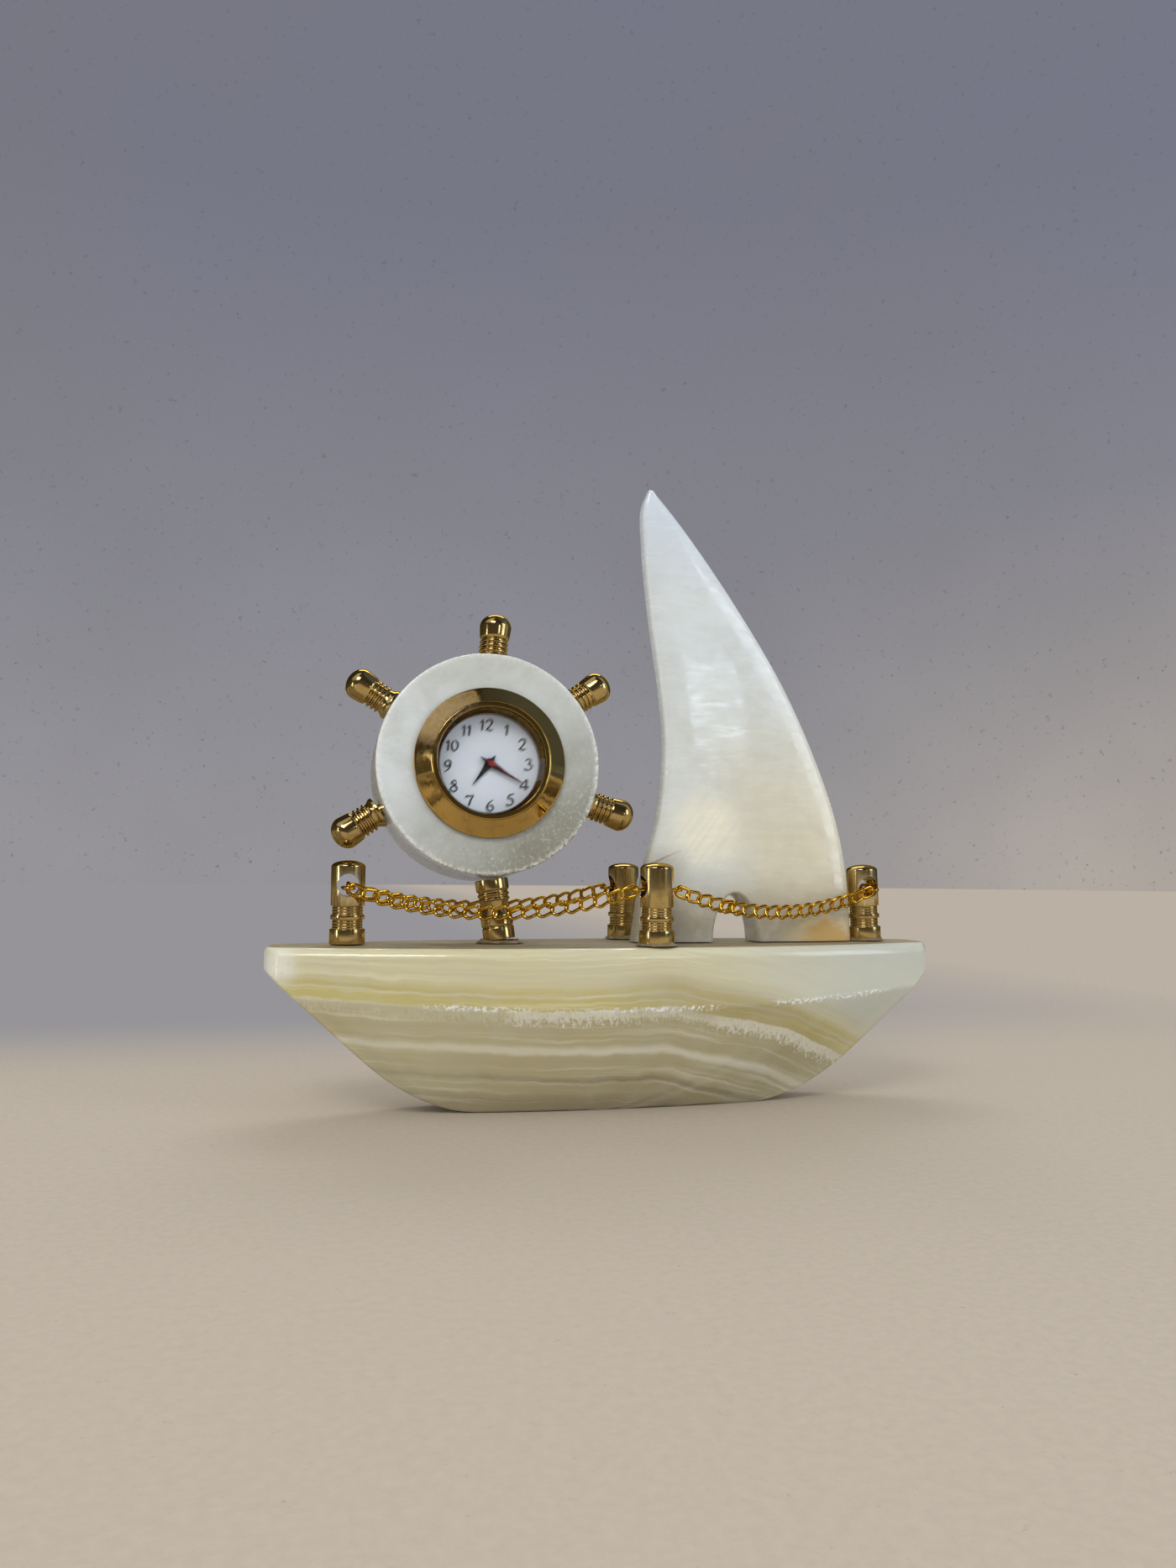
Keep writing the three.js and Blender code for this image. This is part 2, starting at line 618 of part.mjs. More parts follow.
function handleShape() {
  const groove = HANDLE_RING_RADIUS - HANDLE_GROOVE;
  const firstRing = HANDLE_LENGTH - HANDLE_HEAD - HANDLE_RINGS * HANDLE_RING;
  const profile = [
    [0, -PEG_LENGTH], [PEG_RADIUS, -PEG_LENGTH], [PEG_RADIUS, 0],
    [HANDLE_FLANGE_RADIUS, 0], [HANDLE_FLANGE_RADIUS, HANDLE_FLANGE], [groove, firstRing],
  ];
  for (let i = 0; i < HANDLE_RINGS; i += 1) {
    const foot = firstRing + i * HANDLE_RING;
    profile.push([HANDLE_RING_RADIUS, foot + HANDLE_RING / 2], [groove, foot + HANDLE_RING]);
  }
  const domeHeight = HANDLE_HEAD * HEAD_DOME;
  profile.push([HANDLE_HEAD_RADIUS, HANDLE_LENGTH - HANDLE_HEAD * (1 - HEAD_CONE)]);
  profile.push(...dome(HANDLE_HEAD_RADIUS, HANDLE_LENGTH - domeHeight, domeHeight));
  return turned(profile, SMALL);
}

const drills = [];
for (const [name, footAngle, ownAngle] of HANDLES) {
  const direction = clockDirection(ownAngle * DEG);
  const rim = clockDirection(footAngle * DEG).map((v) => v * RING_RADIUS);
  const lift = standOff(rim, direction, HANDLE_FLANGE_RADIUS, 1);
  const foot = rim.map((v, i) => v + lift * direction[i]);
  const handle = place(name, handleShape(), brass, wheel, ...foot, MID_RING);
  handle.rotation.set(-Math.PI / 2, 0, -ownAngle * DEG, 'ZYX');
  handle.updateMatrix();
  drills.push(rod(PEG_RADIUS + GAP, -PEG_LENGTH - GAP, HANDLE_FLANGE).applyMatrix4(handle.matrix));
}

function ringShape() {
  const front = -RING_CHAMFER;
  const back = -RING_DEPTH + RING_CHAMFER;
  return turned([
    [BORE_RADIUS, -RING_DEPTH], [RING_RADIUS - RING_CHAMFER, -RING_DEPTH], [RING_RADIUS, back],
    [RING_RADIUS, front], [RING_RADIUS - RING_CHAMFER, 0], [BORE_RADIUS, 0], [BORE_RADIUS, -RING_DEPTH],
  ], 2 * FINE);
}

place('wheel_ring', cut(ringShape(), ...drills), onyxWhite, wheel);

// The pedestal stands on the deck and carries the ring at its rim.
const pedestalUp = [-Math.sin(PEDESTAL_LEAN), Math.cos(PEDESTAL_LEAN)];
const pedestalTilt = PEDESTAL_RADIUS * Math.sin(Math.hypot(PEDESTAL_LEAN, WHEEL_TILT));
const pedestalFoot = [
  PEDESTAL_X - WHEEL_X,
  (GAP + pedestalTilt - WHEEL_Z - MID_RING * Math.sin(WHEEL_TILT)) / Math.cos(WHEEL_TILT),
];
const pedestalHeight = standOff(pedestalFoot, pedestalUp, PEDESTAL_COLLAR_RADIUS, -1);

function pedestalShape() {
  const r = PEDESTAL_RADIUS;
  const groove = r - PEDESTAL_GROOVE;
  const collarFoot = pedestalHeight - PEDESTAL_COLLAR;
  const ringsFoot = collarFoot - PEDESTAL_RINGS * HANDLE_RING;
  const profile = [
    [0, 0], [r, 0], [r, PEDESTAL_COLLAR], [groove, PEDESTAL_COLLAR + PEDESTAL_GROOVE],
    [r, PEDESTAL_COLLAR + 2 * PEDESTAL_GROOVE], [r, PEDESTAL_LOWER],
    [PEDESTAL_NECK_RADIUS, (PEDESTAL_LOWER + ringsFoot) / 2], [groove, ringsFoot],
  ];
  for (let i = 0; i < PEDESTAL_RINGS; i += 1) {
    const foot = ringsFoot + i * HANDLE_RING;
    profile.push([r, foot + HANDLE_RING / 2], [groove, foot + HANDLE_RING]);
  }
  profile.push([PEDESTAL_COLLAR_RADIUS, collarFoot + PEDESTAL_GROOVE]);
  profile.push([PEDESTAL_COLLAR_RADIUS, pedestalHeight], [0, pedestalHeight]);
  return turned(profile);
}

const pedestal = place('pedestal_post', pedestalShape(), brass, wheel, ...pedestalFoot, MID_RING);
pedestal.rotation.set(-Math.PI / 2, 0, PEDESTAL_LEAN, 'ZYX');

// Squeezed-out adhesive around the feet that show it
function glueShape(radius, width) {
  const inner = radius + GAP;
  return turned([[inner, 0], [inner + width, 0], [inner, GLUE_HEIGHT], [inner, 0]]);
}

const pedestalY = WHEEL_Y - MID_RING * Math.cos(WHEEL_TILT) + pedestalFoot[1] * Math.sin(WHEEL_TILT);
const pedestalGlue = glueShape(PEDESTAL_RADIUS + pedestalTilt, PEDESTAL_GLUE);
place('glue_pedestal', pedestalGlue, glue, deck, PEDESTAL_X, pedestalY, GAP);
for (const [side, width] of Object.entries(STANCHION_GLUE)) {
  const { x, y } = STANCHIONS[side];
  place(`glue_stanchion_${side}`, glueShape(STANCHION_BASE_RADIUS, width), glue, deck, x, y, GAP);
}

// Clock insert, in the wheel's frame

const SKIRT_INNER = LENS_RADIUS + GAP;
const LENS_FRONT = BEZEL_LIP - BEZEL_BREAK - GAP;
const LENS_BACK = LENS_FRONT - LENS_THICKNESS;
const DIAL_BACK = DIAL_FACE - DIAL_THICKNESS;
const CUP_FRONT = -SKIRT_DEPTH - GAP;
const CUP_INNER = CUP_RADIUS - CUP_WALL;
const HOLDER_RADIUS = CUP_INNER - GAP;
const MINUTE_BORE = SECONDS_ARBOR + TUBE_GAP;
const MINUTE_TUBE = MINUTE_BORE + TUBE_WALL;
const HOUR_BORE = MINUTE_TUBE + TUBE_GAP;
const HOUR_TUBE = HOUR_BORE + TUBE_WALL;

place('bezel', turned([
  [CUP_RADIUS, -SKIRT_DEPTH], [CUP_RADIUS, GAP], [BEZEL_RADIUS - BEZEL_BREAK, GAP],
  [BEZEL_RADIUS, GAP + BEZEL_BREAK], [BEZEL_RADIUS, GAP + BEZEL_RIM - BEZEL_BREAK],
  [BEZEL_RADIUS - BEZEL_BREAK, GAP + BEZEL_RIM], [BEZEL_LIP_RADIUS, BEZEL_LIP],
  [BEZEL_OPENING + BEZEL_BREAK, BEZEL_LIP], [BEZEL_OPENING, BEZEL_LIP - BEZEL_BREAK],
  [SKIRT_INNER, BEZEL_LIP - BEZEL_BREAK], [SKIRT_INNER, -SKIRT_DEPTH], [CUP_RADIUS, -SKIRT_DEPTH],
], FINE), goldPlate, wheel);

place('lens', rod(LENS_RADIUS, LENS_BACK, LENS_FRONT, FINE), clearGlass, wheel);

place('dial_collar', turned([
  [LENS_RADIUS, DIAL_FACE + GAP], [LENS_RADIUS, LENS_BACK - GAP], [BEZEL_OPENING, LENS_BACK - GAP],
  [DIAL_VIEW, DIAL_FACE + GAP], [LENS_RADIUS, DIAL_FACE + GAP],
], FINE), goldPlate, wheel);

const dialDisc = disc(LENS_RADIUS, hole(HOUR_TUBE + TUBE_GAP));
place('dial', plate(dialDisc, DIAL_BACK, DIAL_FACE, FINE / 2), dialPaper, wheel);

// A kite-shaped hand with hollow sides, pointing along its clock angle.
function handShape({ tip, tail, width, hollow, angle }, hubRadius, bore, level) {
  const half = width / 2;
  const waist = half * hollow;
  const shape = new THREE.Shape();
  shape.moveTo(-half, 0);
  shape.quadraticCurveTo(-waist, tip * HAND_WAIST, -HAND_POINT, tip);
  shape.lineTo(HAND_POINT, tip);
  shape.quadraticCurveTo(waist, tip * HAND_WAIST, half, 0);
  shape.quadraticCurveTo(waist, -tail * HAND_WAIST, HAND_POINT, -tail);
  shape.lineTo(-HAND_POINT, -tail);
  shape.quadraticCurveTo(-waist, -tail * HAND_WAIST, -half, 0);
  const front = level + HAND_THICKNESS;
  const blank = join(plate(shape, level, front, CURVE_STEPS), rod(hubRadius, level, front));
  const finished = bore ? cut(blank, rod(bore, level - HAND_THICKNESS, front + HAND_THICKNESS)) : blank;
  return finished.rotateZ(-angle * DEG);
}

const hourBore = HOUR_TUBE + TUBE_GAP;
const minuteBore = MINUTE_TUBE + TUBE_GAP;
const hourHand = handShape(HOUR_HAND, hourBore + HAND_HUB, hourBore, HOUR_HAND_LEVEL);
const minuteHand = handShape(MINUTE_HAND, minuteBore + HAND_HUB, minuteBore, MINUTE_HAND_LEVEL);
const secondHand = handShape(SECOND_HAND, minuteBore, 0, SECOND_HAND_LEVEL);
place('hour_hand', hourHand, blackLacquer, wheel);
place('minute_hand', minuteHand, blackLacquer, wheel);
place('second_hand', secondHand, redLacquer, wheel);

// The cup has a flange at either end of the rubber band.
const BAND_FRONT = CUP_FRONT - CUP_FLANGE - GAP;
const BAND_BACK = BAND_FRONT - BAND_LENGTH;
const REAR_FLANGE = BAND_BACK - GAP;

place('case_cup', turned([
  [CUP_INNER, CUP_BACK], [CUP_RADIUS, CUP_BACK],
  [CUP_RADIUS, REAR_FLANGE - CUP_FLANGE], [CUP_FLANGE_RADIUS, REAR_FLANGE - CUP_FLANGE],
  [CUP_FLANGE_RADIUS, REAR_FLANGE], [CUP_RADIUS, REAR_FLANGE],
  [CUP_RADIUS, CUP_FRONT - CUP_FLANGE], [CUP_FLANGE_RADIUS, CUP_FRONT - CUP_FLANGE],
  [CUP_FLANGE_RADIUS, CUP_FRONT], [CUP_INNER, CUP_FRONT], [CUP_INNER, CUP_BACK],
], FINE), blackPlastic, wheel);

function bandShape() {
  const inner = CUP_RADIUS + GAP;
  const crest = BORE_RADIUS - GAP;
  const pitch = BAND_LENGTH / BAND_RIBS;
  const profile = [[inner, BAND_BACK], [inner + BAND_BASE, BAND_BACK]];
  for (let i = 0; i < BAND_RIBS; i += 1) {
    const back = BAND_BACK + i * pitch;
    profile.push([crest, back + pitch / 2], [inner + BAND_BASE, back + pitch]);
  }
  profile.push([inner, BAND_FRONT], [inner, BAND_BACK]);
  return turned(profile, FINE);
}

place('grip_band', bandShape(), rubber, wheel);

const stemY = -2 * MOTION_DISTANCE;
const plateFront = CUP_BACK - GAP;
const plateBack = plateFront - BACK_THICKNESS;
const plugRadius = CUP_INNER - GAP;
place('case_back', join(
  plate(disc(CUP_RADIUS, hole(KNOB_RADIUS + GAP, 0, stemY)), plateBack, plateFront, FINE / 2),
  collar(plugRadius - BACK_PLUG, plugRadius, plateBack + BACK_THICKNESS / 2, plateFront + BACK_PLUG, FINE),
), blackPlastic, wheel);

// Movement

const thirdAxis = polar(THIRD_DISTANCE, THIRD_ANGLE);
const stepAxis = polar(STEP_DISTANCE, STEP_ANGLE);
const rotorAxis = polar(ROTOR_DISTANCE, ROTOR_ANGLE).map((v, i) => v + stepAxis[i]);
const mate = (distance, pinion) => distance - pinion - TOOTH_GAP;

function gear(teeth, radius, layer, bore) {
  return plate(toothed(teeth, radius, bore), layer - GEAR_THICKNESS, layer, BORE_STEPS);
}

const pivotBack = BRIDGE_LAYER - BRIDGE_THICKNESS;
const arbor = () => rod(PIVOT_RADIUS, pivotBack, PLATE_LAYER - GEAR_THICKNESS, THIN);

const hourFront = HOUR_HAND_LEVEL + HAND_THICKNESS;
const minuteFront = MINUTE_HAND_LEVEL + HAND_THICKNESS;
place('hour_wheel', join(
  gear(32, mate(MOTION_DISTANCE, PINION_RADIUS), HOUR_LAYER, HOUR_BORE),
  collar(HOUR_BORE, HOUR_TUBE, HOUR_LAYER - GEAR_THICKNESS, hourFront, SMALL),
), whitePlastic, wheel);
place('cannon_pinion', join(
  gear(10, CANNON_RADIUS, MOTION_LAYER, MINUTE_BORE),
  collar(MINUTE_BORE, MINUTE_TUBE, MOTION_LAYER - GEAR_THICKNESS, minuteFront, SMALL),
), brass, wheel);
const studBore = PIVOT_RADIUS + TUBE_GAP;
place('minute_wheel', join(
  gear(30, mate(MOTION_DISTANCE, CANNON_RADIUS), MOTION_LAYER, studBore),
  gear(8, PINION_RADIUS, HOUR_LAYER, studBore),
  collar(studBore, studBore + TUBE_GAP, MOTION_LAYER - GEAR_THICKNESS, HOUR_LAYER, SMALL),
), whitePlastic, wheel, 0, -MOTION_DISTANCE);
place('centre_wheel', join(
  gear(48, mate(THIRD_DISTANCE, PINION_RADIUS), CENTRE_LAYER, MINUTE_BORE),
  collar(MINUTE_BORE, MINUTE_TUBE, CENTRE_LAYER - GEAR_THICKNESS, PLATE_LAYER, SMALL),
), brass, wheel);
place('third_wheel', join(
  gear(45, mate(THIRD_DISTANCE, PINION_RADIUS), THIRD_LAYER),
  gear(6, PINION_RADIUS, CENTRE_LAYER),
  arbor(),
), whitePlastic, wheel, ...thirdAxis);
place('seconds_wheel', join(
  gear(30, mate(STEP_DISTANCE, PINION_RADIUS), SECONDS_LAYER),
  gear(6, PINION_RADIUS, THIRD_LAYER),
  rod(SECONDS_ARBOR, pivotBack, SECOND_HAND_LEVEL - TUBE_GAP, THIN),
), brass, wheel);
place('step_wheel', join(
  gear(36, mate(ROTOR_DISTANCE, PINION_RADIUS), STEP_LAYER),
  gear(6, PINION_RADIUS, SECONDS_LAYER),
  arbor(),
), whitePlastic, wheel, ...stepAxis);

const statorBack = THIRD_LAYER - STATOR_THICKNESS;
const rotorFront = THIRD_LAYER + (ROTOR_LENGTH - STATOR_THICKNESS) / 2;
place('rotor', join(
  rod(ROTOR_RADIUS, rotorFront - ROTOR_LENGTH, rotorFront, ROUND),
  gear(6, PINION_RADIUS, STEP_LAYER),
  arbor(),
), steel, wheel, ...rotorAxis);

function corners(left, right, low, high) {
  return [[left, low], [right, low], [right, high], [left, high]].map(([x, y]) => new THREE.Vector2(x, y));
}

const coilX = rotorAxis[0] + ROTOR_RADIUS + GAP + COIL_RADIUS;
function statorShape() {
  const left = rotorAxis[0] - ROTOR_RADIUS - COIL_CORE;
  const low = rotorAxis[1] - COIL_LENGTH / 2 - GAP;
  const high = rotorAxis[1] + COIL_LENGTH / 2 + GAP;
  const arm = 2 * COIL_CORE;
  const frame = new THREE.Shape(corners(left, coilX + COIL_CORE, low - arm, high + arm));
  frame.holes.push(new THREE.Path(corners(coilX - COIL_RADIUS - GAP, coilX - COIL_CORE, low, high)));
  const rotorHole = rod(ROTOR_RADIUS + GAP, statorBack - GAP, THIRD_LAYER + GAP, ROUND);
  return cut(plate(frame, statorBack, THIRD_LAYER), rotorHole.translate(...rotorAxis, 0));
}
place('stator', statorShape(), steel, wheel);

const coilTube = collar(COIL_CORE + GAP, COIL_RADIUS, -COIL_LENGTH / 2, COIL_LENGTH / 2, SMALL);
const coilLevel = (statorBack + THIRD_LAYER) / 2;
place('coil', coilTube.rotateX(Math.PI / 2), copper, wheel, coilX, rotorAxis[1], coilLevel);

const pivots = [thirdAxis, stepAxis, rotorAxis].map((axis) => hole(PIVOT_RADIUS + TUBE_GAP, ...axis));
const stemHole = () => hole(STEM_RADIUS + TUBE_GAP, 0, stemY);
const plateRear = PLATE_LAYER - PLATE_THICKNESS;
place('main_plate', join(
  plate(disc(PLATE_RADIUS, hole(MINUTE_TUBE + TUBE_GAP), stemHole(), ...pivots), plateRear, PLATE_LAYER),
  rod(PIVOT_RADIUS, PLATE_LAYER - PLATE_THICKNESS / 2, HOUR_LAYER, THIN).translate(0, -MOTION_DISTANCE, 0),
), brass, wheel);

const pillars = BRIDGE_PILLARS.map((angle) => {
  const pillar = rod(PILLAR_RADIUS, BRIDGE_LAYER - BRIDGE_THICKNESS / 2, plateRear - GAP, THIN);
  return pillar.translate(...polar(BRIDGE_RADIUS - 2 * PILLAR_RADIUS, angle), 0);
});
place('train_bridge', join(
  plate(disc(BRIDGE_RADIUS, hole(MINUTE_BORE), stemHole(), ...pivots), pivotBack, BRIDGE_LAYER),
  ...pillars,
), whitePlastic, wheel);

const holderFront = DIAL_BACK - GAP;
const holderInner = HOLDER_RADIUS - HOLDER_WALL;
const holder = collar(holderInner, HOLDER_RADIUS, holderFront - HOLDER_DEPTH, holderFront, FINE);
place('movement_holder', holder, whitePlastic, wheel);

// Power and electronics behind the bridge

function block(width, height, back, front, x = 0) {
  return new THREE.BoxGeometry(width, height, front - back).translate(x, 0, (front + back) / 2);
}

const batteryBack = POWER_LAYER - BATTERY_HEIGHT;
place('battery', rod(BATTERY_RADIUS, batteryBack, POWER_LAYER, ROUND), steel, wheel, BATTERY_X, BATTERY_Y);

const clipReach = BATTERY_RADIUS + GAP + CLIP_THICKNESS / 2;
const clipBack = batteryBack - GAP - CLIP_THICKNESS;
place('battery_clip', join(
  block(2 * clipReach + CLIP_THICKNESS, CLIP_WIDTH, clipBack, clipBack + CLIP_THICKNESS),
  ...[-1, 1].map((side) => block(CLIP_THICKNESS, CLIP_WIDTH, clipBack, pivotBack - GAP, side * clipReach)),
), steel, wheel, BATTERY_X, BATTERY_Y);

const boardBack = POWER_LAYER - BOARD_THICKNESS;
const board = block(BOARD_WIDTH, BOARD_HEIGHT, boardBack, POWER_LAYER);
place('circuit_board', board, boardGreen, wheel, BOARD_X, BOARD_Y);
const crystal = rod(CRYSTAL_RADIUS, -CRYSTAL_LENGTH / 2, CRYSTAL_LENGTH / 2).rotateX(Math.PI / 2);
crystal.translate(BOARD_WIDTH / 4, 0, boardBack - GAP - CRYSTAL_RADIUS);
place('quartz_crystal', crystal, steel, wheel, BOARD_X, BOARD_Y);
const chip = rod(CHIP_RADIUS, boardBack - GAP - CHIP_HEIGHT, boardBack - GAP);
place('clock_chip', chip, blackPlastic, wheel, BOARD_X - BOARD_WIDTH / 4, BOARD_Y);

// Setting knob at the back, geared to the minute wheel

const knobFront = plateBack - STEM_PROUD;
place('set_stem', join(
  gear(10, CANNON_RADIUS, MOTION_LAYER),
  rod(STEM_RADIUS, knobFront + GAP, MOTION_LAYER - GEAR_THICKNESS / 2, THIN),
), steel, wheel, 0, stemY);
const knob = plate(toothed(KNOB_TEETH, KNOB_RADIUS), knobFront - KNOB_HEIGHT, knobFront);
place('set_knob', knob, blackPlastic, wheel, 0, stemY);

export default clock;
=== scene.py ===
import math
from types import SimpleNamespace

import bmesh
import bpy
import numpy as np
from bpy.props import FloatProperty, FloatVectorProperty, PointerProperty
from mathutils import Matrix


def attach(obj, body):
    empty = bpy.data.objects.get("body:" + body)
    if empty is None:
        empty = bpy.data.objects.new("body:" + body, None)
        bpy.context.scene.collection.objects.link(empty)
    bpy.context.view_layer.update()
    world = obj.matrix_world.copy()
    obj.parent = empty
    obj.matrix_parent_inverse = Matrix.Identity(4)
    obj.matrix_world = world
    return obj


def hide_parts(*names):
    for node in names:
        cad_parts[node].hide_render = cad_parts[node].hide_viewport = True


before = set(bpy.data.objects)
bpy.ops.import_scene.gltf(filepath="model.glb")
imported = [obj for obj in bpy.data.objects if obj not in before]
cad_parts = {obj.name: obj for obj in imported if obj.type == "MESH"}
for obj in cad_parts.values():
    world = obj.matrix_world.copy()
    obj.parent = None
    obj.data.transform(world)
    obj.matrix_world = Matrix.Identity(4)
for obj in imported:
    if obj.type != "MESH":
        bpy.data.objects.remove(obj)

bl_info = {
    "name": "Onyx boat desk clock",
    "version": (1, 0, 0),
    "blender": (4, 5, 0),
    "location": "View3D > Sidebar > Desk clock",
    "description": "Dresses the frame of a boat-shaped onyx desk clock with its stone, brass and chain",
    "category": "Object",
}

# Shapes are worked out in millimetres and put into meshes in metres
MM = 0.001
# Room for glue, and between pieces that fit into each other
GAP = 0.3
UP = np.array([0.0, 0.0, 1.0])


# Property helpers

def length(label, millimetres, about):
    """A length property whose default is given in millimetres."""
    return FloatProperty(
        name=label, description=about, default=millimetres * MM, min=0.0, unit="LENGTH", precision=5
    )


def place(label, millimetres, about):
    """A coordinate in the part's frame, which may be negative."""
    return FloatProperty(
        name=label, description=about, default=millimetres * MM, unit="LENGTH", precision=5
    )


def angle(label, degrees, about):
    return FloatProperty(
        name=label, description=about, default=math.radians(degrees), subtype="ANGLE"
    )


def factor(label, value, about):
    return FloatProperty(name=label, description=about, default=value, min=0.0)


def colour(label, red, green, blue, about):
    """A colour property whose default is given as the 0 to 255 values of a screen."""
    screen = np.array([red, green, blue]) / 255
    linear = np.where(screen <= 0.04045, screen / 12.92, ((screen + 0.055) / 1.055) ** 2.4)
    return FloatVectorProperty(
        name=label, description=about, default=tuple(float(v) for v in linear),
        subtype="COLOR", size=3, min=0.0, max=1.0,
    )


class CLOCK_PG_hull(bpy.types.PropertyGroup):
    length: length("Length", 167.6, "Length of the stone hull over its two noses")
    height: length("Height", 39, "Height of the deck over the keel")
    deck_half: length("Half breadth", 19.65, "Half breadth of the flat deck amidships")
    end_half: length("End half breadth", 5.8, "Half breadth where the nose starts")
    fullness: factor("Deck fullness", 2.26, "Exponent of the deck's outline")
    edge: length("Deck edge", 1.5, "Rounding between deck and side")
    flare: length("Knuckle flare", 0.4, "How far the knuckle stands out past the side")
    knuckle_drop: length("Knuckle drop", 14.3, "From the deck down to the knuckle amidships")
    knuckle_rise: length("Knuckle rise", 4, "How much higher the knuckle lies at the ends")
    lean: angle("Lower side lean", 27, "Lean of the side below the knuckle")
    bulge: length("Lower side bulge", 0.8, "Roundness of the side below the knuckle")
    keel_half: length("Half keel", 47.5, "Half length of the flat keel")
    rake: angle("Rake", 43, "Climb of the raked ends")
    rake_blend: length("Rake blend", 14, "Half length of the curve from keel to rake")
    nose: length("Nose", 3.6, "Length of the rounded nose")
    nose_share: factor("Nose breadth", 0.28, "Breadth left at the tip of the nose, as a share")
    nose_sole: length("Nose sole", 0.6, "Least height of the lower side at the nose")
    nose_round: length("Nose rounding", 1.4, "Rounding between deck and nose")


class CLOCK_PG_sail(bpy.types.PropertyGroup):
    foot_half: length("Foot half thickness", 5, "Half thickness at the deck")
    tip_half: length("Tip half thickness", 2.3, "Half thickness at the tip")
    squareness: factor("Squareness", 4.5, "Exponent of the rounded section")
    ridge: factor("Ridge", 0.34, "How much thinner the carved side towards the leech is")
    arch_x: place("Arch place", 30.7, "Middle of the arch between the two feet")
    arch_half: length("Arch half width", 5.8, "Half width of the arch")
    arch_height: length("Arch height", 12, "Height of the arch over the deck")


class CLOCK_PG_stanchion(bpy.types.PropertyGroup):
    radius: length("Radius", 3.98, "Radius of the turned body")
    height: length("Height", 19.65, "Height over its foot")
    base_radius: length("Base radius", 4.15, "Radius of the base collar")
    base: length("Base", 3.45, "Height of the base collar")
    neck_radius: length("Neck radius", 3.6, "Radius of the two necks")
    lower_neck: length("Lower neck", 2.3, "Height of the lower neck")
    bead: length("Bead", 1, "Height of the bead between the necks")
    upper_neck: length("Upper neck", 2.2, "Height of the upper neck")
    dome: length("Dome", 1.45, "Height of the domed top")
    eye_radius: length("Eye radius", 2.65, "Radius of the cross hole for the chain")
    eye_drop: length("Eye drop", 5.8, "From the top down to the hole's axis")
    lean: angle("Lean", 2.3, "Lean of the right stanchion towards the sail")


class CLOCK_PG_chain(bpy.types.PropertyGroup):
    wire: length("Wire radius", 0.42, "Radius of the links' wire")
    bend: length("Bend", 1.2, "Bend radius of a link's ends")
    link: length("Link length", 3.8, "Length of a link over its wire's centres")
    pitch: length("Pitch", 3.35, "Step from link to link")
    twist: length("Twist", 0.46, "How far the wire leaves the link's plane")
    slant: angle("Slant", 20, "Turn of each link in its own plane against the swag")
    eye_link: length("Eye link length", 4.2, "Length of the links in a stanchion's eye")
    eye_grip: length("Eye link grip", 0.3, "Between the wires of linked links in an eye")
    front_sag: length("Front sag", 5.6, "How deep the front swags hang")
    back_sag: length("Back sag", 5.0, "How deep the back swags hang")


class CLOCK_PG_wheel(bpy.types.PropertyGroup):
    radius: length("Ring radius", 27.1, "Outer radius of the stone ring")
    depth: length("Ring depth", 21.8, "Depth of the ring along its axis")
    chamfer: length("Ring edge", 0.5, "Rounding of the ring's edges")
    bore: length("Bore", 17.5, "Radius of the bore that takes the insert")
    tilt: angle("Tilt", 4.16, "How far the face looks up")
    handle: length("Handle length", 12.6, "Length of a handle over the ring")
    head_radius: length("Head radius", 4, "Radius of a handle's head")
    head: length("Head length", 6.6, "Length of a handle's head")
    ring_radius: length("Turned ring radius", 3.6, "Radius of the turned rings")
    groove: length("Groove depth", 0.6, "Depth of the turned grooves")
    ring_width: length("Turned ring width", 1.2, "Width of one turned ring")
    flange_radius: length("Flange radius", 3.9, "Radius of a handle's flange")
    flange: length("Flange", 0.7, "Height of a handle's flange")
    post_lean: angle("Post lean", 8.1, "Lean of the post that carries the ring")
    post_radius: length("Post radius", 3.9, "Radius of that post")
    post_collar: length("Post collar", 2.9, "Height of its collars")
    post_collar_radius: length("Post collar radius", 4.05, "Radius of its upper collar")
    post_neck: length("Post neck radius", 3.1, "Radius of its waist")


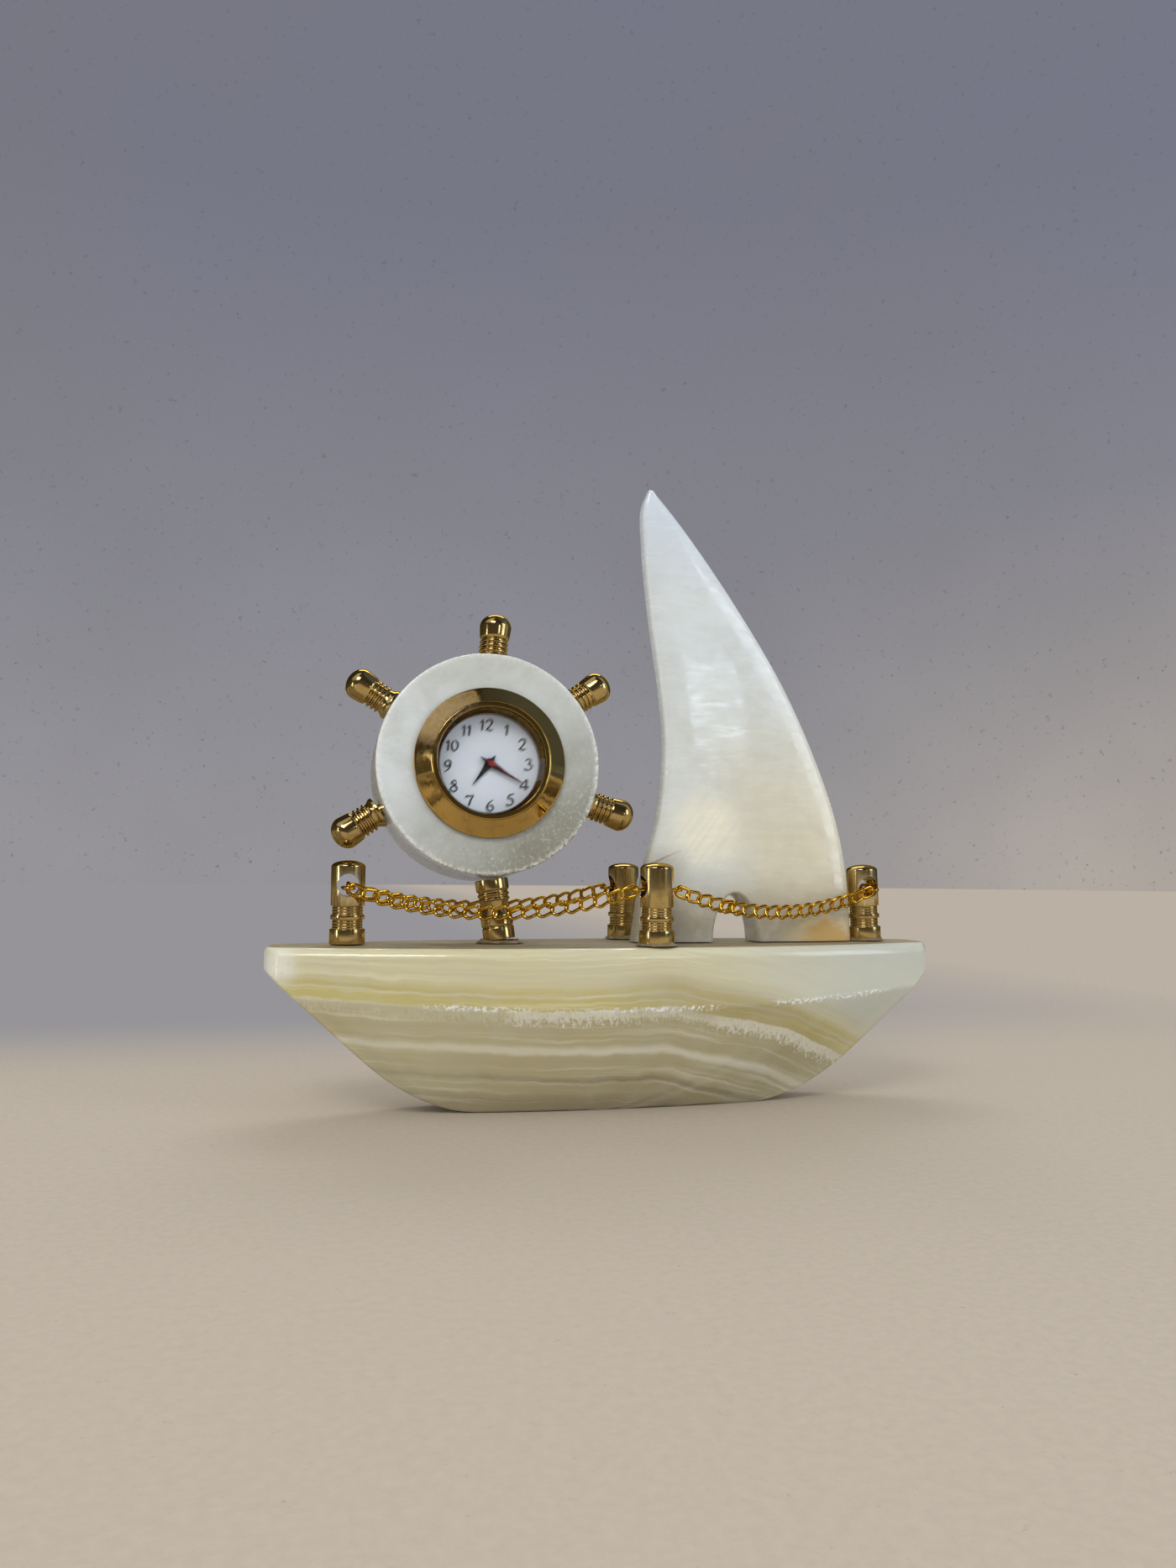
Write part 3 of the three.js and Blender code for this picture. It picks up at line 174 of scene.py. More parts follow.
class CLOCK_PG_insert(bpy.types.PropertyGroup):
    bezel_radius: length("Bezel radius", 18.25, "Outer radius of the bezel")
    bezel_rim: length("Bezel rim", 0.9, "Thickness of the rim on the ring")
    lip_radius: length("Lip radius", 14.1, "Outer radius of the raised lip")
    lip: length("Lip height", 4.1, "Height of the lip over the ring's face")
    opening: length("Opening", 13, "Radius of the opening over the lens")
    lens_radius: length("Lens radius", 13.35, "Radius of the lens")
    lens_thickness: length("Lens thickness", 0.9, "Thickness of the lens")
    dial_view: length("Dial view", 11.93, "Visible radius of the dial")
    cup_radius: length("Cup radius", 15.9, "Outer radius of the insert's cup")
    cup_back: length("Cup depth", 12.4, "From the ring's face to the cup's rear rim")
    knob_radius: length("Knob radius", 1.9, "Radius of the setting knob")
    numeral_radius: length("Numeral circle", 9.75, "Radius of the circle of numerals")
    numeral_height: length("Numeral height", 2.65, "Height of a numeral")
    numeral_turn: angle("Dial turn", 2.5, "How far the dial is turned against the clock")
    hour_width: length("Hour hand width", 2.4, "Width of the hour hand at its hub")
    hour_tip: length("Hour hand length", 6.7, "From the hub to the hour hand's tip")
    hour_angle: angle("Hour hand angle", 217.1, "Clock angle of the hour hand")
    minute_width: length("Minute hand width", 1.9, "Width of the minute hand at its hub")
    minute_tip: length("Minute hand length", 9.4, "From the hub to the minute hand's tip")
    minute_angle: angle("Minute hand angle", 121.9, "Clock angle of the minute hand")
    second_width: length("Second hand width", 1.5, "Width of the second hand at its hub")
    second_tip: length("Second hand length", 9, "From the hub to the second hand's tip")
    second_angle: angle("Second hand angle", 120.5, "Clock angle of the second hand")


class CLOCK_PG_colours(bpy.types.PropertyGroup):
    cream: colour("Cream band", 222, 216, 180, "Pale upper layers of the hull's onyx")
    olive: colour("Olive band", 204, 193, 128, "Yellow green layer over the vein")
    vein: colour("Vein", 240, 238, 222, "Rough white vein along the knuckle")
    beige: colour("Beige band", 196, 187, 148, "Layers under the vein")
    pale: colour("Pale band", 214, 207, 176, "Pale layer low on the hull")
    umber: colour("Umber band", 160, 148, 118, "Darkest layers near the keel")
    grey_end: colour("Grey end", 206, 210, 200, "Whitish stone at the sail's end of the hull")
    sawn: colour("Sawn deck", 152, 135, 104, "Unpolished deck")
    milk: colour("Milk", 230, 238, 242, "Sail and ring")
    cloud: colour("Cloud", 178, 180, 166, "Greyer clouds in the milky stone")
    honey: colour("Honey", 226, 208, 160, "Warm stain in the sail")
    rust: colour("Rust", 208, 170, 100, "Brown vein at the sail's foot")
    brass: colour("Brass", 206, 178, 116, "Turned brass")
    tarnish: colour("Tarnish", 118, 94, 56, "Dulled brass in the grooves")
    chain: colour("Chain", 240, 190, 70, "Gold plating of the chain")
    plate: colour("Bezel plate", 199, 164, 92, "Gold plating of the bezel")
    dial: colour("Dial", 226, 236, 250, "Dial face")
    ink: colour("Ink", 14, 14, 16, "Numerals and hands")
    red: colour("Red", 150, 14, 16, "Second hand")
    black: colour("Black plastic", 24, 24, 26, "Cup, back and knob")
    butter: colour("Butter", 230, 223, 194, "Warm lower part of the sail")
    glue: colour("Adhesive", 150, 134, 106, "Yellowed glue around the feet")


class CLOCK_PG_stage(bpy.types.PropertyGroup):
    floor: colour("Floor", 196, 184, 168, "Pale floor under the clock")
    backdrop: colour("Backdrop", 152, 150, 154, "Grey behind the clock")
    sky: colour("Upper backdrop", 118, 120, 136, "Bluish grey high behind the clock")
    key: FloatProperty(name="Key lamp", description="Power of the soft lamp", default=3.8, unit="POWER")
    fill: FloatProperty(name="Fill lamp", description="Power of the fill", default=1.5, unit="POWER")
    top: FloatProperty(name="Top lamp", description="Power of the lamp overhead", default=2.0, unit="POWER")
    room: factor("Room light", 0.6, "Strength of the plain light from all sides")


GROUPS = {
    "clock_hull": CLOCK_PG_hull,
    "clock_sail": CLOCK_PG_sail,
    "clock_stanchion": CLOCK_PG_stanchion,
    "clock_chain": CLOCK_PG_chain,
    "clock_wheel": CLOCK_PG_wheel,
    "clock_insert": CLOCK_PG_insert,
    "clock_colours": CLOCK_PG_colours,
    "clock_stage": CLOCK_PG_stage,
}


def sizes(context, name):
    """One property group's values by name, its lengths in millimetres."""
    group = getattr(context.scene, name)
    values = {}
    for key, prop in group.bl_rna.properties.items():
        if key not in ("rna_type", "name"):
            value = getattr(group, key)
            values[key] = value / MM if prop.unit == "LENGTH" else value
    return SimpleNamespace(**values)


# Mesh helpers

def quads(rows, columns):
    """Faces of a grid numbered row by row. Each row's end joins its start."""
    row, column = np.meshgrid(np.arange(rows - 1), np.arange(columns), indexing="ij")
    row, column = row.ravel(), column.ravel()
    after = (column + 1) % columns
    below, above = row * columns, (row + 1) * columns
    return np.stack((below + column, below + after, above + after, above + column), axis=1)


def grid(points):
    """Points of shape rows x columns x 3, each row a closed loop, and the faces between them."""
    rows, columns = points.shape[:2]
    return points.reshape(-1, 3), quads(rows, columns)


def gathered(*shells):
    """Several shells of points and faces as one."""
    starts = np.cumsum([0] + [len(points) for points, _ in shells[:-1]])
    points = np.concatenate([points for points, _ in shells])
    faces = np.concatenate([faces + start for (_, faces), start in zip(shells, starts)])
    return points, faces


def new_mesh(name, points, faces, material, sharp=35):
    """A smooth mesh in metres. Doubled points are joined, which closes poles and seams, and every
    shell is turned to face outwards."""
    mesh = bpy.data.meshes.new(name)
    mesh.vertices.add(len(points))
    mesh.vertices.foreach_set("co", (points * MM).astype(np.float32).ravel())
    mesh.loops.add(faces.size)
    mesh.loops.foreach_set("vertex_index", faces.astype(np.int32).ravel())
    mesh.polygons.add(len(faces))
    mesh.polygons.foreach_set("loop_start", np.arange(len(faces), dtype=np.int32) * faces.shape[1])
    mesh.update(calc_edges=True)
    shell = bmesh.new()
    shell.from_mesh(mesh)
    bmesh.ops.remove_doubles(shell, verts=shell.verts, dist=1e-3 * MM)
    bmesh.ops.recalc_face_normals(shell, faces=shell.faces)
    shell.to_mesh(mesh)
    shell.free()
    mesh.materials.append(material)
    mesh.shade_smooth()
    mesh.set_sharp_from_angle(angle=math.radians(sharp))
    return mesh


def new_piece(name, mesh, body, slot, *nodes):
    """An object that rides a body and stands for CAD nodes, which it hides. Its slot is not used."""
    item = bpy.data.objects.new(name, mesh)
    bpy.context.scene.collection.objects.link(item)
    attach(item, body)
    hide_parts(*nodes)


def make(name, shell, material, body, slot, *nodes, sharp=35):
    """A piece made straight from its shell."""
    new_piece(name, new_mesh(name, *shell, material, sharp), body, slot, *nodes)


def cut_away(name, shell, cutter, material, sharp=35):
    """A shell less a closed cutter, as a mesh. A cross hole is no function on the piece's own grid."""
    item = bpy.data.objects.new("blank", new_mesh(name + "_blank", *shell, material, sharp))
    tool = bpy.data.objects.new("cutter", new_mesh(name + "_cutter", *cutter, material))
    for thing in (item, tool):
        bpy.context.scene.collection.objects.link(thing)
    hole = item.modifiers.new("Hole", "BOOLEAN")
    hole.object = tool
    hole.operation = "DIFFERENCE"
    hole.solver = "EXACT"
    result = bpy.data.meshes.new_from_object(item.evaluated_get(bpy.context.evaluated_depsgraph_get()))
    result.name = name + "_cut"
    result.set_sharp_from_angle(angle=math.radians(sharp))
    bpy.data.objects.remove(item)
    bpy.data.objects.remove(tool)
    return result


def eased(corners, reach, steps=6):
    """A profile with soft corners. Each inner corner gives way to a quadratic curve that leaves its
    two edges at the reach, or near the middle of a shorter edge. Corners may have leading axes."""
    middle = corners[..., 1:-1, :]
    before = corners[..., :-2, :] - middle
    after = corners[..., 2:, :] - middle
    reach = np.broadcast_to(np.asarray(reach, float), middle.shape[:-1])[..., None]

    def leave(edge):
        distance = np.maximum(np.linalg.norm(edge, axis=-1, keepdims=True), 1e-9)
        return middle + edge * np.minimum(0.48, reach / distance)

    start, end = leave(before)[..., None, :], leave(after)[..., None, :]
    share = np.linspace(0, 1, steps)[:, None]
    bends = (1 - share) ** 2 * start + 2 * share * (1 - share) * middle[..., None, :] + share ** 2 * end
    bends = bends.reshape(*corners.shape[:-2], -1, corners.shape[-1])
    return np.concatenate((corners[..., :1, :], bends, corners[..., -1:, :]), axis=-2)


def subdivided(line, parts):
    """The same polyline with each piece split into equal parts."""
    share = np.arange(parts)[:, None] / parts
    start, end = line[..., :-1, None, :], line[..., 1:, None, :]
    inner = (start + (end - start) * share).reshape(*line.shape[:-2], -1, line.shape[-1])
    return np.concatenate((inner, line[..., -1:, :]), axis=-2)


def closed_ring(corners, reach, steps=6):
    """The profile of a ring, a closed loop of corners, all eased."""
    corners = np.asarray(corners, float)
    middle = (corners[:1] + corners[1:2]) / 2
    return eased(np.concatenate((middle, corners[1:], corners[:1], middle)), reach, steps)


def turned(profile, sides=96):
    """A profile of radius and height carried around the Z axis in equal steps."""
    turn = np.arange(sides) * 2 * np.pi / sides
    radius, height = profile[:, :1], profile[:, 1:]
    points = np.stack((radius * np.cos(turn), radius * np.sin(turn), height + 0 * turn), axis=-1)
    return grid(points)


def spline(points, count):
    """A curve through points, each stretch a cubic whose slopes come from its neighbours, with
    steps by the square root of their distances. It is sampled evenly from point to point."""
    points = np.asarray(points, float)
    padded = np.concatenate((2 * points[:1] - points[1:2], points, 2 * points[-1:] - points[-2:-1]))
    spot = np.linspace(0, len(points) - 1, count)
    first = np.minimum(spot.astype(int), len(points) - 2)
    t = (spot - first)[:, None]
    a, b, c, d = (padded[first + k] for k in range(4))
    ab, bc, cd = (np.sqrt(np.linalg.norm(q - p, axis=1, keepdims=True)) for p, q in ((a, b), (b, c), (c, d)))
    leave = ((b - a) / ab - (c - a) / (ab + bc) + (c - b) / bc) * bc
    arrive = ((c - b) / bc - (d - b) / (bc + cd) + (d - c) / cd) * bc
    square, cube = 3 * (c - b) - 2 * leave - arrive, 2 * (b - c) + leave + arrive
    return b + leave * t + square * t ** 2 + cube * t ** 3


def placed(shell, origin, x=(1, 0, 0), y=(0, 1, 0), z=(0, 0, 1)):
    """A shell drawn in a frame of three axes at an origin, in the part's own frame."""
    points, faces = shell
    return np.asarray(origin) + points @ np.array([x, y, z], float), faces


def along_axis(shell, origin, axis, side):
    """A shell turned about Z, set with its Z along an axis."""
    axis = np.asarray(axis, float) / np.linalg.norm(axis)
    side = np.asarray(side, float) - np.dot(side, axis) * axis
    side = side / np.linalg.norm(side)
    return placed(shell, origin, side, np.cross(axis, side), axis)


def wheel_axes(wheel):
    """Axes of the ring's own frame: right, up its face and out of its face."""
    sin, cos = math.sin(wheel.tilt), math.cos(wheel.tilt)
    return np.array([[1, 0, 0], [0, sin, cos], [0, -cos, sin]], float)


# Middle of the ring's face
WHEEL_PLACE = np.array([-32.4, -6.3, 82.6])


def on_wheel(shell, wheel):
    """A shell drawn in the ring's frame, in the part's own frame."""
    return placed(shell, WHEEL_PLACE, *wheel_axes(wheel))


# Node helpers

class Field:
    """A node's output. Sums, differences and products of fields and numbers make math nodes."""

    def __init__(self, socket):
        self.socket = socket

    def __add__(self, other):
        return calc("ADD", self, other)

    def __sub__(self, other):
        return calc("SUBTRACT", self, other)

    def __rsub__(self, other):
        return calc("SUBTRACT", other, self)

    def __mul__(self, other):
        return calc("MULTIPLY", self, other)

    __radd__ = __add__
    __rmul__ = __mul__


def add(tree, kind, inputs=None, **settings):
    """A node with its settings, and its inputs linked to a field or set to a value."""
    item = tree.nodes.new(kind)
    for key, value in settings.items():
        setattr(item, key, value)
    for key, value in (inputs or {}).items():
        if isinstance(value, Field):
            tree.links.new(value.socket, item.inputs[key])
        else:
            item.inputs[key].default_value = value
    return item


def source(tree, kind, output):
    """One output of a new node that takes no input."""
    return Field(add(tree, kind).outputs[output])


def derived(kind, inputs, output=0, **settings):
    """One output of a new node, in the tree of the fields that feed it."""
    tree = next(value.socket.id_data for value in inputs.values() if isinstance(value, Field))
    return Field(add(tree, kind, inputs, **settings).outputs[output])


def calc(operation, *values):
    return derived("ShaderNodeMath", dict(enumerate(values)), operation=operation)


def blend(share, first, second):
    """Two colours mixed by a share."""
    first, second = (shade if isinstance(shade, Field) else (*shade, 1) for shade in (first, second))
    return derived("ShaderNodeMix", {0: share, 6: first, 7: second}, 2, data_type="RGBA")


def painted(colour_below, *coats):
    """A colour with coats over it, each given as its mask and its own colour."""
    for mask, shade in coats:
        colour_below = blend(mask, colour_below, shade)
    return colour_below


def scaled(shade, share):
    return tuple(share * value for value in shade)


def mixed_shaders(share, first, second):
    return derived("ShaderNodeMixShader", {0: share, 1: first, 2: second})


def between(value, low, high, low_result=0.0, high_result=1.0, smooth=False):
    """A value carried from one range to another and held at its ends."""
    inputs = {"Value": value, "From Min": low, "From Max": high, "To Min": low_result, "To Max": high_result}
    kind = "SMOOTHSTEP" if smooth else "LINEAR"
    return derived("ShaderNodeMapRange", inputs, "Result", interpolation_type=kind)


def noise(vector, scale, detail=3.0, roughness=0.55, distortion=0.0):
    inputs = {"Vector": vector, "Scale": scale, "Detail": detail, "Roughness": roughness}
    return derived("ShaderNodeTexNoise", {**inputs, "Distortion": distortion}, "Fac")


def ramp(value, stops):
    """Colours along a value from 0 to 1, each stop a position and a colour."""
    item = add(value.socket.id_data, "ShaderNodeValToRGB", {"Fac": value})
    elements = item.color_ramp.elements
    elements.remove(elements[1])
    elements[0].position = stops[0][0]
    elements[0].color = (*stops[0][1], 1)
    for position, shade in stops[1:]:
        elements.new(position).color = (*shade, 1)
    return Field(item.outputs["Color"])


def curve(value, points):
    """A smooth function through points, from 0 to 1 in both directions."""
    item = add(value.socket.id_data, "ShaderNodeFloatCurve", {"Value": value})
    line = item.mapping.curves[0]
    line.points[0].location = points[0]
    line.points[1].location = points[-1]
    for point in points[1:-1]:
        line.points.new(*point)
    item.mapping.update()
    return Field(item.outputs["Value"])


def stretched(vector, scale):
    return derived("ShaderNodeMapping", {"Vector": vector, "Scale": scale}, "Vector")


def coordinates(tree):
    """Object coordinates in millimetres."""
    return stretched(source(tree, "ShaderNodeTexCoord", "Object"), (1 / MM, 1 / MM, 1 / MM))


def separated(vector):
    """The three parts of a vector."""
    item = add(vector.socket.id_data, "ShaderNodeSeparateXYZ", {"Vector": vector})
    return [Field(output) for output in item.outputs]


def combined(x, y, z):
    return derived("ShaderNodeCombineXYZ", {"X": x, "Y": y, "Z": z}, "Vector")


def vector_math(operation, *values, output="Vector"):
    return derived("ShaderNodeVectorMath", dict(enumerate(values)), output, operation=operation)


def bump(height, strength, distance):
    inputs = {"Height": height, "Strength": strength, "Distance": distance * MM}
    return derived("ShaderNodeBump", inputs, "Normal")


# The frame brings materials named after its slots, so the finishes get names of their own
FINISH_NAME = "clock_"
SHADER = "Principled BSDF"


def new_material(name):
    """A new material and its object coordinates."""
    material = bpy.data.materials.new(FINISH_NAME + name)
    material.use_nodes = True
    return material, coordinates(material.node_tree)


def feed(material, **values):
    """The material with values on its shader's own inputs, named with a low line for each space."""
    tree = material.node_tree
    for key, value in values.items():
        socket = tree.nodes[SHADER].inputs[key.replace("_", " ")]
        if isinstance(value, Field):
            tree.links.new(value.socket, socket)
        else:
            socket.default_value = (*value, 1) if socket.type == "RGBA" else value
    return material


def show(tree, kind, shader):
    """Puts a shader on the surface of a material or a world."""
    tree.links.new(shader.socket, tree.nodes[kind].inputs["Surface"])


def grouped(name, build, output, **inputs):
    """The output of a shared node group, which is built at its first use from its inputs' fields."""
    group = bpy.data.node_groups.get(name)
    if not group:
        group = bpy.data.node_groups.new(name, "ShaderNodeTree")
        for label in inputs:
            kind = "NodeSocketVector" if label == "Vector" else "NodeSocketFloat"
            group.interface.new_socket(label, in_out="INPUT", socket_type=kind)
        group.interface.new_socket(output, in_out="OUTPUT", socket_type="NodeSocketFloat")
        given = group.nodes.new("NodeGroupInput").outputs
        result = build(*(Field(given[label]) for label in inputs))
        group.links.new(result.socket, group.nodes.new("NodeGroupOutput").inputs[output])
    return derived("ShaderNodeGroup", inputs, output, node_tree=group)


def build_clouds(vector, scale, low, high):
    """Soft clouds: the sum of a large and a small noise, spread between two levels."""
    both = noise(vector, scale, 4.0, 0.6, 0.6) * 0.72 + noise(vector, scale * 4.3, 3.0) * 0.28
    return between(both, low, high, smooth=True)


def build_wear(vector, start, end, scale):
    """Worn edges: where the surface is convex, broken up by noise."""
    edge = source(vector.socket.id_data, "ShaderNodeNewGeometry", "Pointiness")
    return between(noise(vector, scale, 3.0) * 0.06 + edge, start + 0.03, end)


def build_scuffs(vector, scale):
    """Fine scuffs: noise stretched along X and along Z, the stronger of the two at each point."""
    along_x = noise(stretched(vector, (0.12, 2.2, 2.2)), scale, 2.0, 0.6)
    along_z = noise(stretched(vector, (2.2, 2.2, 0.12)), scale, 2.0, 0.6)
    return calc("MAXIMUM", along_x, along_z)


def clouds(vector, scale, low=0.35, high=0.65):
    return grouped("Clouds", build_clouds, "Mask", Vector=vector, Scale=scale, Low=low, High=high)


def wear(vector, start=0.52, end=0.6, scale=1.5):
    return grouped("Worn edges", build_wear, "Mask", Vector=vector, Start=start, End=end, Scale=scale)


def scuffs(vector, scale):
    return grouped("Fine scuffs", build_scuffs, "Height", Vector=vector, Scale=scale)


def near(vector, point, core, edge):
    """1 within a core distance of a point, falling to 0 at the edge distance."""
    return between(vector_math("DISTANCE", vector, point, output="Value"), core, edge, 1.0, 0.0, smooth=True)


def near_value(value, middle, core, edge):
    """1 where a value is within a core distance of the middle one, falling to 0 at the edge distance."""
    return between(calc("ABSOLUTE", value - middle), core, edge, 1.0, 0.0, smooth=True)


def either(*masks):
    """The largest of several masks."""
    largest = masks[0]
    for mask in masks[1:]:
        largest = calc("MAXIMUM", largest, mask)
    return largest


def distorted(vector, scale, amount):
    """A vector pushed about by coloured noise, up to half the amount in each direction."""
    wobble = derived("ShaderNodeTexNoise", {"Vector": vector, "Scale": scale, "Detail": 2.0}, "Color")
    centred = vector_math("SUBTRACT", wobble, (0.5, 0.5, 0.5))
    return vector_math("MULTIPLY_ADD", centred, (amount, amount, amount), vector)


# Finishes

# Height of the white vein along the hull, both as shares of the ranges below
VEIN_ALONG = (-84, 84)
VEIN_HIGHEST = 40
VEIN_LINE = [
    (0, 0.725), (0.054, 0.7125), (0.098, 0.692), (0.152, 0.665), (0.207, 0.648), (0.274, 0.635),
    (0.34, 0.618), (0.433, 0.612), (0.503, 0.62), (0.552, 0.625), (0.59, 0.592), (0.655, 0.542),
    (0.725, 0.478), (0.788, 0.38), (0.858, 0.272), (1, 0.08),
]
# How clearly the vein and the painted glints on the knuckle show along the hull
VEIN_STRENGTH = [
    (0, 0.15), (0.05, 0.35), (0.1, 0.2), (0.2, 0.25), (0.31, 0.3), (0.34, 0.9), (0.47, 0.95), (0.5, 0.5),
    (0.6, 0.4), (0.63, 0.75), (0.8, 0.85), (0.86, 0.4), (1, 0.2),
]
GLINTS = [
    (0, 0), (0.2, 0), (0.23, 0.9), (0.33, 0.9), (0.36, 0.3), (0.46, 0.3), (0.49, 0.95), (0.61, 0.95),
    (0.64, 0), (0.7, 0), (0.72, 0.9), (0.88, 0.9), (0.92, 0), (1, 0),
]
# Layers of the hull's onyx by their height over the vein, and the range they cover
BANDS = [
    (-26, "umber"), (-19, "umber"), (-17, "beige"), (-15.2, "beige"), (-14.4, "umber"), (-13.4, "beige"),
    (-9.6, "beige"), (-8.9, "pale"), (-8.0, "pale"), (-6.8, "beige"), (-1.3, "beige"), (0.2, "beige"),
    (0.5, "olive"), (2.6, "olive"), (3.1, "pale"), (3.6, "olive"), (6, "cream"), (14, "cream"),
]
BAND_LOW = -26
BAND_HIGH = 14
RIBBON = -8.4
# The hull's knuckle: half the hull's length, its height amidships and its rise to the ends
HULL_HALF = 83.8
KNUCKLE_LOW = 24.7
KNUCKLE_RISE = 4.0
DECK_TOP = 38.93
# Places of single marks, in millimetres
# Spot of a painted highlight on the nose at the wheel's end
NOSE_HIGHLIGHT_SPOT = (-79, -6, 34.5)
SAIL_GLOW = (23, -4, 67)
SAIL_RIBS = (20, -4, 92)
# Middle of the painted reflection on the bezel
BEZEL_REFLECTION_SPOT = (-44, -10, 93)
RING_EDGE = 27
# Shades of single marks
# White of the glints painted along the knuckle
GLINT = (0.93, 0.97, 1.0)
# White of the painted highlight on that nose
NOSE_HIGHLIGHT = (0.90, 0.93, 0.90)
WARM_SHADE = (0.86, 0.84, 0.76)
TIP_BLUE = (0.74, 0.84, 1.0)
# Colour of the painted shadow low on the sail, between the luff and the arch
FOOT_SHADOW = (0.30, 0.25, 0.16)
FOOT_SHADE = (0.38, 0.32, 0.21)
# Colour of the glow painted into the sail
GLOW = (1.0, 0.98, 0.80)
# Clear stone, darkened also as painted shade towards the ring's lower right
CLEAR_AND_SHADED_STONE = (0.27, 0.26, 0.19)
FROST = (0.82, 0.83, 0.78)
RING_SIDE = (0.47, 0.46, 0.36)
EDGE_CHIP = (0.95, 0.96, 0.95)
WORN_BRASS = (0.95, 0.84, 0.56)
# Pinkish colour of the painted reflection on the bezel
REFLECTION_PINK = (0.62, 0.50, 0.42)
# How much of what is seen goes through the lens without bending
STRAIGHT_THROUGH = 0.7


def knuckle_height(x):
    """Height of the hull's knuckle, rising with the square of the place along the hull."""
    share = x * (1 / HULL_HALF)
    return share * share * KNUCKLE_RISE + KNUCKLE_LOW


def hull_layers(c, where, band, x, y, z):
    """The hull's layers: bands by the height over the vein, darker and duller low down, streaked
    along the bands, and whitish at both ends."""
    stops = [((level - BAND_LOW) / (BAND_HIGH - BAND_LOW), getattr(c, shade)) for level, shade in BANDS]
    layers = ramp(between(band, BAND_LOW, BAND_HIGH), stops)
    low = between(band, 1, -3)
    deep = between(band, -9, -20, smooth=True) * between(x, -60, 30, 0.0, 0.7)
    layers = painted(
        layers,
        (low * between(x, 0, -50, 0.0, 0.4), c.cream),
        (low * between(x, -5, 40, 0.0, 0.3), c.umber),
        (deep, scaled(c.umber, 0.78)),
    )
    streak = noise(combined(x * 0.02, y * 0.03, band * 0.8), 1.0, 6.0, 0.62)
    layers = blend(between(streak, 0.42, 0.66, 0.0, 0.4), layers, blend(0.5, c.umber, layers))
    ribbon = near_value(band, RIBBON, 0.1, 1.3) * between(streak, 0.35, 0.6, 0.25, 0.7)
    murky = near_value(x, 22, 12, 36) * near_value(band, 3.4, 1.5, 4.5)
    sail_end = between(x, 0, 66, 0.0, 0.9, smooth=True) * between(band, 4, 9)
    wheel_end = between(x, -74, -83, 0.0, 0.6) * between(z, 28, 34)
    return painted(
        layers,
        (between(streak, 0.46, 0.3, 0.0, 0.45), c.vein),
        (ribbon, c.vein),
        (murky * 0.4, c.umber),
        (sail_end, c.grey_end),
        (wheel_end, c.vein),
        (clouds(where, 0.05, 0.42, 0.7) * 0.22, c.grey_end),
    )


def hull_onyx(c):
    """Banded onyx. A point's place in the bands is its height over the vein, so every layer follows
    the vein, closer together towards the sail's end. The vein comes and goes along the hull, torn
    along its lower side. Glints on the knuckle and a highlight on the nose are painted in, and the
    deck is left sawn."""
    material, where = new_material("hull_onyx")
    x, y, z = separated(where)
    along = between(x, *VEIN_ALONG)
    wander = between(y, -16, 20) * 5 + noise(where, 0.16, 4.0) * 1.7 - 0.85
    height = z - curve(along, VEIN_LINE) * VEIN_HIGHEST + wander
    band = height * between(x, -70, 50, 1.0, 0.76)

    fibre = noise(stretched(where, (1.5, 1.5, 0.4)), 1.0, 5.0, 0.7)
    hanging = between(fibre, 0.36, 0.66) * -3.0 - 1.1
    in_vein = between(band, hanging, hanging + 0.8) * between(band, 0.45, 0.05)
    torn = in_vein * curve(along, VEIN_STRENGTH) * between(fibre, 0.3, 0.6, 0.5, 1.0)
    grain = noise(where, 1.1, 3.0, 0.6)
    rim = near_value(z - knuckle_height(x), 0.1, 0.2, 1.0)
    layers = painted(
        hull_layers(c, where, band, x, y, z),
        (torn, c.vein),
        # Painted glints: white specks along the knuckle
        (rim * between(grain, 0.5, 0.56) * curve(along, GLINTS), GLINT),
        # Painted highlight on the nose, broken up by the grain
        (near(where, NOSE_HIGHLIGHT_SPOT, 1.5, 6) * between(grain, 0.3, 0.55, 0.4, 0.9), NOSE_HIGHLIGHT),
    )

    deck = calc("GREATER_THAN", z, DECK_TOP)
    kerf = noise(combined(x * 0.03, y, 0.0), 0.9, 5.0, 0.7)
    bare = painted(
        c.sawn,
        (between(kerf, 0.35, 0.68, 0.0, 0.7), scaled(c.sawn, 0.45)),
        (clouds(where, 0.09, 0.3, 0.7) * 0.35, c.beige),
    )
    polish = torn * 0.2 + between(clouds(where, 0.3), 0, 1, 0.13, 0.24)
    relief = noise(where, 0.22, 2.0) * 0.5 + (torn + rim) * (fibre * 0.8) + deck * kerf * 0.6
    return feed(
        material, IOR=1.55, Coat_Roughness=0.05, Coat_Weight=deck * -0.4 + 0.4, Subsurface_Weight=0.25,
        Subsurface_Radius=(1.0, 0.9, 0.6), Subsurface_Scale=0.003, Base_Color=blend(deck, layers, bare),
        Roughness=calc("MAXIMUM", polish, deck * 0.62), Normal=bump(relief, 0.5, 0.35),
    )


